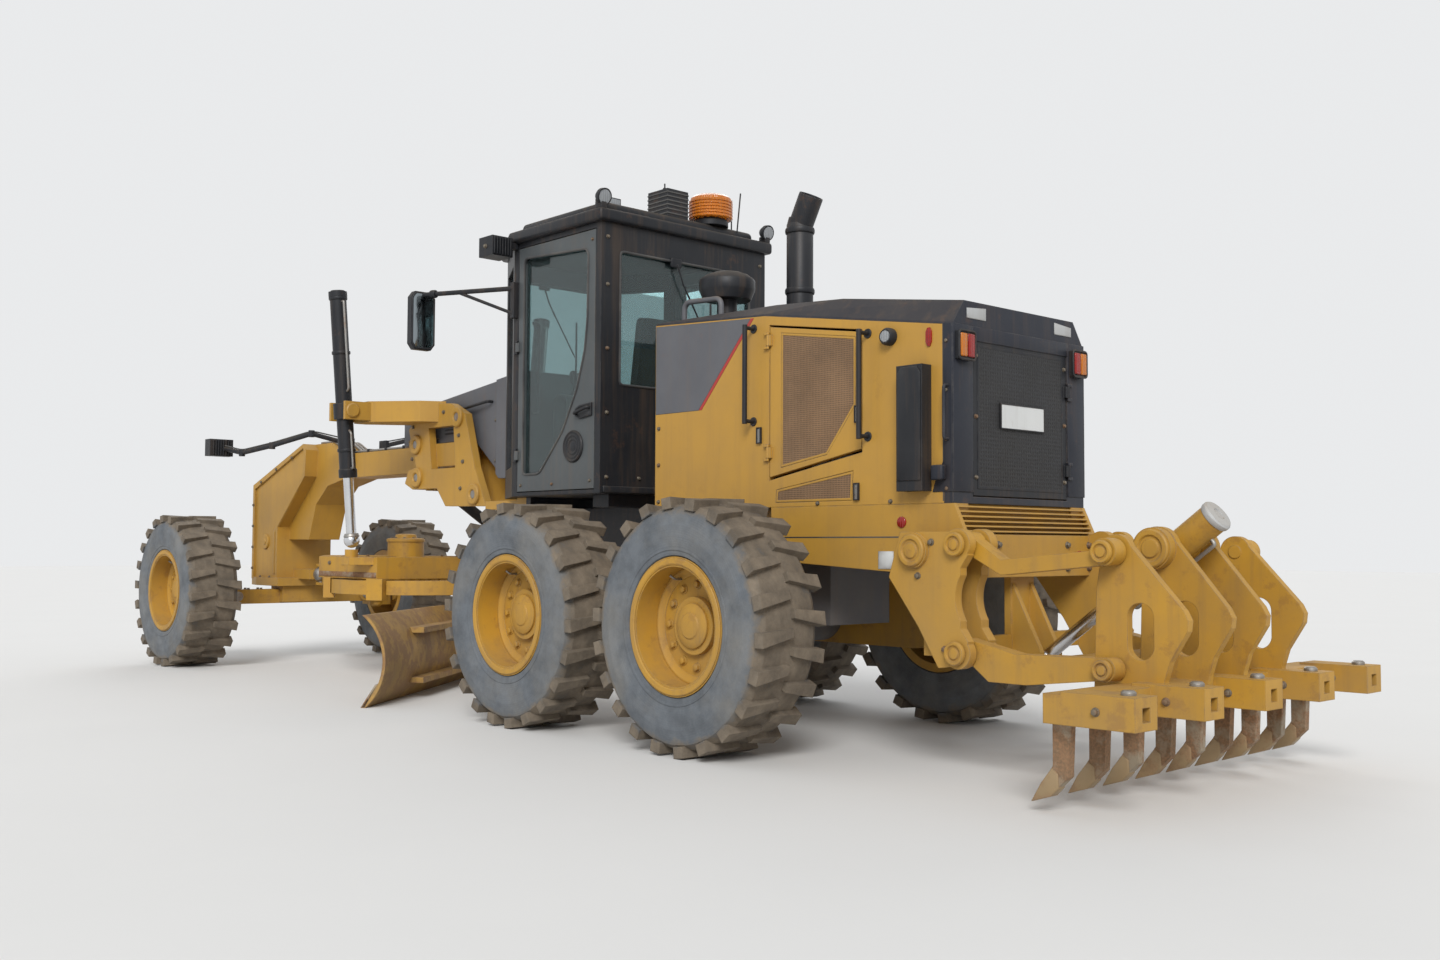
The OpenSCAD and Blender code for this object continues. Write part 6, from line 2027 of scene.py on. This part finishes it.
@dataclass
class DrawbarAndCircle:
    """Drawbar strips and bolts, the drive's cover, the legs' bolts and the blade mount's pin caps."""

    circle_x: float = 3.800
    yaw: float = math.radians(40.0)
    top: float = 0.980
    low: float = 0.810
    wall: float = 0.690
    drive_x: float = 4.170
    kit: Kit = Kit("drawbar")

    def build(self) -> None:
        """Dress drawbar, circle and blade mount."""
        self.drawbar()
        self.drive()
        self.circle()

    def turned_spot(self, x: float, y: float, z: float) -> Point:
        """Turn a place from the circle's own axes to the machine's.

        Args:
            x: forward of the circle's middle.
            y: left of it.
            z: height.

        Returns:
            The place on the machine's axes.
        """
        a = self.yaw
        return (self.circle_x + x * math.cos(a) - y * math.sin(a), x * math.sin(a) + y * math.cos(a), z)

    def drawbar(self) -> None:
        """Make the drawbar's edge strips, cross bolts and ball bolt."""
        for side in SIDES:
            kit = Kit("drawbar", side)
            kit.plate(f"drawbar_strip_{kit.tag}", rectangle(3.40, self.low + 0.012, 4.345, self.low + 0.052),
                      self.wall - 0.001, self.wall + 0.006, Stock.WORN, 0.003)
            kit.bolts(f"drawbar_bolts_{kit.tag}", 0.013, [(x, self.wall, 0.93) for x in (3.47, 3.70, 3.93, 4.16)])
        self.kit.bolts("ball_fork_bolt", 0.016, [(5.62, 0.0, 0.897)], UP)
        spots = [(self.drive_x, y, self.top) for y in (-0.50, -0.35, 0.35, 0.50)]
        self.kit.bolts("cross_beam_bolts", 0.013, spots, UP)

    def drive(self) -> None:
        """Make the circle drive's flanged cover and its bolts."""
        z = self.top + 0.130
        self.kit.spun("drive_cover", [
            (0, -0.01), (0.158, -0.01), (0.158, 0.012), (0.145, 0.020), (0.09, 0.024), (0.085, 0.05),
            (0.06, 0.058), (0, 0.058)], (self.drive_x, 0, z), Stock.LOW_YELLOW, UP, 48)
        turns = [math.tau * k / 10 for k in range(10)]
        spots = [(self.drive_x + 0.120 * math.cos(a), 0.120 * math.sin(a), z + 0.018) for a in turns]
        self.kit.bolts("drive_bolts", 0.011, spots, UP)

    def circle(self) -> None:
        """Make the blade mount's pin caps and the legs' bolts."""
        left = Vector((-math.sin(self.yaw), math.cos(self.yaw), 0))
        legs = ((-0.59, 0.36), (-0.65, 0.30), (-0.59, 0.52), (-0.50, 0.655))
        for side in SIDES:
            tag, out = SIDE_NAMES[side], left * side
            Kit("blade_mount").spun(f"tip_pin_cap_{tag}", button(0.05, -0.002, 0.008, 0.04, 0.014, 0.014),
                                    self.turned_spot(-0.600, side * 0.545, 0.200), Stock.STEEL, out, 32)
            spots = [self.turned_spot(x, side * 0.475, z) for x, z in legs]
            Kit("circle").bolts(f"leg_bolts_{tag}", 0.013, spots, out)


@dataclass
class Blade:
    """The bolts and the end bits of the blade's cutting edge."""

    circle: DrawbarAndCircle = field(default_factory=DrawbarAndCircle)
    back: float = 0.330
    length: float = 3.658
    shift: float = 0.300
    edge_bolts: int = 25

    def build(self) -> None:
        """Dress the blade."""
        yaw = self.circle.yaw
        face = (Vector((math.cos(yaw), math.sin(yaw), 0)) * 0.832 + Vector((0, 0, 0.555))).normalized()
        start, run = self.shift - self.length / 2 + 0.10, self.length - 0.20
        spots = [self.circle.turned_spot(-self.back - 0.0235, start + k * run / (self.edge_bolts - 1), 0.075)
                 for k in range(self.edge_bolts)]
        Kit("blade").bolts("edge_bolts", 0.011, spots, face, Stock.WORN)
        for side in SIDES:
            self.end_bit(Kit("blade", side))

    def end_bit(self, kit: Kit) -> None:
        """Make the overlay plate on one end of the cutting edge.

        Args:
            kit: the side's kit.
        """
        bit = kit.plate(f"end_bit_{kit.tag}", [(0.004, 0.002), (0.034, 0.002), (-0.064, 0.155), (-0.080, 0.150)],
                        self.length / 2 - 0.30, self.length / 2, edge=0.002)
        bit.matrix_world = (
            Matrix.Translation(placed((self.circle.circle_x, 0, 0))) @ Matrix.Rotation(self.circle.yaw, 4, "Z")
            @ Matrix.Translation((FRAME_X - self.back, self.shift, 0)))
        kit.dress(Bench.close(bit, bit.name), Stock.WORN)


@dataclass
class FrontAxle:
    """King pin caps, hub flanges and yoke bolts of the front axle."""

    wheelbase: float = 6.123
    king_y: float = 0.800

    def build(self) -> None:
        """Dress both ends of the axle."""
        for side in SIDES:
            kit = Kit("front", side)
            tag, spindle = kit.tag, kit.on(f"spindle_{kit.tag}")
            for name, z, way in (("king_cap_top", 0.842, 1), ("king_cap_low", 0.488, -1)):
                spindle.spun(f"{name}_{tag}", button(0.052, -0.002, 0.008, 0.042, 0.016, 0.018),
                             (self.wheelbase, self.king_y, z), Stock.LOW_YELLOW, (0, 0, way), 32)
            spindle.spun(f"hub_drum_{tag}", [
                (0.080, 0), (0.14, 0), (0.15, 0.02), (0.15, 0.07), (0.12, 0.10), (0.084, 0.10)],
                (self.wheelbase, 0.955, 0.665), Stock.LOW_YELLOW)
            kit.on(f"lean_yoke_{tag}").spun(
                f"lean_pin_cap_{tag}", button(0.044, -0.001, 0.010, 0.034, 0.016, 0.016),
                (self.wheelbase - 0.095, 0.640, 0.600), Stock.STEEL, BACK, 32)
            spots = [(self.wheelbase + dx, y, 0.660) for dx in (-0.035, 0.035) for y in (0.40, 0.52)]
            kit.bolts(f"axle_bolts_{tag}", 0.013, spots, UP)


@dataclass
class Ripper:
    """Pin bosses, pocket collars, tooth tips, cylinder cap and bolts of the ripper."""

    rear_x: float = -2.860
    upper_z: float = 1.060
    lower_z: float = 0.555
    frame_x: float = -2.130
    pitch: float = 0.534
    beam_low: float = 0.375
    pocket_x: float = -2.860 - 0.430
    kit: Kit = Kit("ripper_carriage")

    def build(self) -> None:
        """Dress the ripper."""
        for side in SIDES:
            self.bosses(Kit("rear", side))
        self.pockets()
        self.tips()
        self.cylinder(Kit("ripper_barrel"))

    def bosses(self, kit: Kit) -> None:
        """Make a side's round pin bosses and bolts on frame and carriage.

        Args:
            kit: the side's kit.
        """
        tag, carriage = kit.tag, kit.on("ripper_carriage")
        for name, place, r, owner in (
            ("frame_boss", (-1.880, 0.745, 1.060), 0.078, kit),
            ("frame_pin_up", (self.frame_x, 0.740, 1.090), 0.056, kit),
            ("frame_pin_low", (self.frame_x, 0.740, 0.585), 0.056, kit),
            ("carriage_pin_up", (self.rear_x, 0.674, self.upper_z), 0.050, carriage),
            ("carriage_pin_low", (self.rear_x, 0.674, self.lower_z), 0.046, carriage),
            ("trunnion", (self.rear_x + 0.020, 0.230, self.upper_z + 0.015), 0.088, carriage),
        ):
            owner.spun(f"{name}_{tag}", [
                (0, -0.003), (r, -0.003), (r, 0.010), (r * 0.93, 0.017), (r * 0.70, 0.017), (r * 0.64, 0.009),
                (r * 0.50, 0.009), (r * 0.46, 0.016), (0, 0.018)], place, Stock.LOW_YELLOW, steps=44)
        spots = ((-1.98, 1.10), (-1.90, 0.94), (-2.06, 0.60))
        kit.bolts(f"bracket_bolts_{tag}", 0.013, [(x, 0.724, z) for x, z in spots])

    def pockets(self) -> None:
        """Make the collars round the beam's square pockets and the pins and bolts of its blocks."""
        x, z = self.pocket_x, self.beam_low
        for k in range(5):
            y = (k - 2) * self.pitch
            corners = rectangle(y - 0.037, z + 0.025, y + 0.037, z + 0.099)
            self.kit.tube(f"pocket_collar_{k}", [(x + 0.0072, *corner) for corner in corners], 0.007,
                          Stock.LOW_YELLOW, 0.012, loop=True)
            self.kit.spun(f"pocket_pin_{k}", [
                (0, -0.002), (0.030, -0.002), (0.030, 0.012), (0.022, 0.02), (0.010, 0.020), (0, 0.022)],
                (x + 0.075, y, z + 0.132), Stock.STEEL, UP, 28)
            for side in SIDES:
                self.kit.bolts(f"block_bolt_{k}_{SIDE_NAMES[side]}", 0.014,
                               [(x + 0.17, y + side * 0.082, z + 0.065)], (0, side, 0))

    def tips(self) -> None:
        """Make the worn tips over the teeth's points."""
        x = self.rear_x
        for k in range(9):
            y = (k - 4) * self.pitch / 2
            self.kit.plate(f"tooth_tip_{k}", [
                (x + 0.0795, 0.0435), (x + 0.030, 0.127), (x - 0.020, 0.190), (x - 0.050, 0.170),
                (x - 0.052, 0.112), (x - 0.017, 0.076)], y - 0.0265, y + 0.0265, Stock.TIP, 0.004)

    def cylinder(self, kit: Kit) -> None:
        """Make the ripper cylinder's pale cap, its gland and the pipe along its underside.

        Args:
            kit: the barrel's kit.
        """
        turn = math.atan2(0.555, -0.730)
        way = Vector((math.cos(turn), 0, math.sin(turn)))
        under = way.cross(Vector((0, 1, 0))).normalized()
        if under[2] > 0:
            under = -under

        def spot(along: float, out: float = 0.0) -> Point:
            """Give a place along the cylinder from its trunnion, and out to its underside."""
            return (self.rear_x + 0.020 + way[0] * along + under[0] * out, 0.0,
                    self.upper_z + 0.015 + way[2] * along + under[2] * out)

        kit.spun("ripper_cap", [
            (0, -0.004), (0.074, -0.004), (0.078, 0.004), (0.078, 0.020), (0.070, 0.030), (0.03, 0.032),
            (0.028, 0.026), (0, 0.026)], spot(0.230), Stock.PALE_GREY, way, 48)
        kit.spun("ripper_gland", [
            (0.034, -0.010), (0.074, -0.010), (0.080, -0.002), (0.080, 0.045), (0.074, 0.052), (0.068, 0.052),
            (0.068, 0.0), (0.034, 0.0)], spot(-0.400), Stock.LOW_YELLOW, way, 48)
        route = ((-0.34, 0.065), (-0.34, 0.098), (0.16, 0.098), (0.16, 0.065))
        kit.tube("ripper_pipe", [spot(*place) for place in route], 0.010, Stock.STEEL, 0.03)


ASSEMBLIES = (
    Wheels(), Tandems(), EngineHood(), RearFace(), Stacks(), Cab(), FrontFrame(), LiftGear(), DrawbarAndCircle(),
    Blade(), FrontAxle(), Ripper())


# Floor, light and camera


@dataclass
class Studio:
    """The pale floor, the soft light and the camera at the photograph's place."""

    eye: Point = (-6.024, 5.819, 1.078)
    heading: float = -42.72
    climb: float = 2.78
    roll: float = 0.25
    focal_px: float = 1357.49
    image_px: float = 1440.0
    floor_half: float = 60.0
    floor_colour: Colour = (0.70, 0.69, 0.67)

    def build(self) -> None:
        """Make the floor, the world, the lamps and the camera."""
        self.floor()
        self.world()
        self.lamp("key", (-7.0, 9.0, 9.5), 2.5, 24)
        self.lamp("fill", (10.0, -8.0, 8.0), 0.7, 40)
        self.camera()
        bpy.context.scene.view_settings.view_transform = "Standard"

    def floor(self) -> None:
        """Make the floor: a wide, evenly divided sheet with a faint mottle."""
        Bench.clear()
        bpy.ops.mesh.primitive_grid_add(x_subdivisions=24, y_subdivisions=24, size=2 * self.floor_half)
        sheet = bpy.context.object
        sheet.name = "floor"
        made = bpy.data.materials.new("pale floor")
        made.use_nodes = True
        made.node_tree.nodes.clear()
        desk = NodeDesk(made.node_tree)
        mottle = desk.noise(desk.place(), 0.9, 6.0, 0.6)
        darker = tuple(0.96 * part for part in self.floor_colour)
        shader = desk.put("ShaderNodeBsdfPrincipled", {
            "Base Color": desk.mix(mottle, self.floor_colour, darker), "Roughness": 0.9})
        desk.put("ShaderNodeOutputMaterial", {"Surface": shader.outputs[0]})
        sheet.data.materials.append(made)

    def world(self) -> None:
        """Light the object at a plain level and show a pale background."""
        world = bpy.data.worlds.new("studio")
        world.use_nodes = True
        world.node_tree.nodes.clear()
        desk = NodeDesk(world.node_tree)
        seen = desk.put("ShaderNodeLightPath").outputs
        shown = desk.sum("MAXIMUM", seen["Is Camera Ray"],
                         desk.sum("MAXIMUM", seen["Is Glossy Ray"], seen["Is Transmission Ray"]))
        light = desk.put("ShaderNodeBackground", {"Color": (0.93, 0.96, 1.0, 1), "Strength": 0.62})
        show = desk.put("ShaderNodeBackground", {"Color": (0.86, 0.87, 0.88, 1), "Strength": 0.95})
        both = desk.put("ShaderNodeMixShader", {0: shown, 1: light.outputs[0], 2: show.outputs[0]})
        desk.put("ShaderNodeOutputWorld", {"Surface": both.outputs[0]})
        bpy.context.scene.world = world

    def lamp(self, name: str, place: Point, strength: float, spread: float) -> None:
        """Make a soft distant lamp that looks at the machine's middle.

        Args:
            name: the lamp's name.
            place: where it stands, on the machine's axes.
            strength: its strength.
            spread: the angle that it fills, in degrees.
        """
        data = bpy.data.lights.new(name, "SUN")
        data.energy = strength
        data.angle = math.radians(spread)
        lamp = bpy.data.objects.new(name, data)
        bpy.context.collection.objects.link(lamp)
        lamp.location = placed(place)
        aim = placed((1.5, 0, 1.2)) - lamp.location
        lamp.rotation_euler = aim.to_track_quat("-Z", "Y").to_euler()

    def camera(self) -> None:
        """Put the camera where the photograph was taken from."""
        turn, rise, roll = math.radians(self.heading), math.radians(self.climb), math.radians(self.roll)
        ahead = Vector((math.cos(turn) * math.cos(rise), math.sin(turn) * math.cos(rise), math.sin(rise)))
        level = ahead.cross(Vector((0, 0, 1))).normalized()
        upright = level.cross(ahead)
        right = level * math.cos(roll) + upright * math.sin(roll)
        up = upright * math.cos(roll) - level * math.sin(roll)
        data = bpy.data.cameras.new("camera")
        data.sensor_width = 36.0
        data.lens = 36.0 * self.focal_px / self.image_px
        data.clip_end = 300.0
        camera = bpy.data.objects.new("camera", data)
        bpy.context.collection.objects.link(camera)
        axes = Matrix((right, up, -ahead)).transposed().to_4x4()
        camera.matrix_world = Matrix.Translation(placed(self.eye)) @ axes
        bpy.context.scene.camera = camera


def main() -> None:
    """Dress the nodes, build each sub-assembly in order, and set up floor, light and camera."""
    dress_nodes()
    for part in ASSEMBLIES:
        part.build()
        log.info("built %s", type(part).__name__)
    Studio().build()


if __name__ == "__main__":
    main()
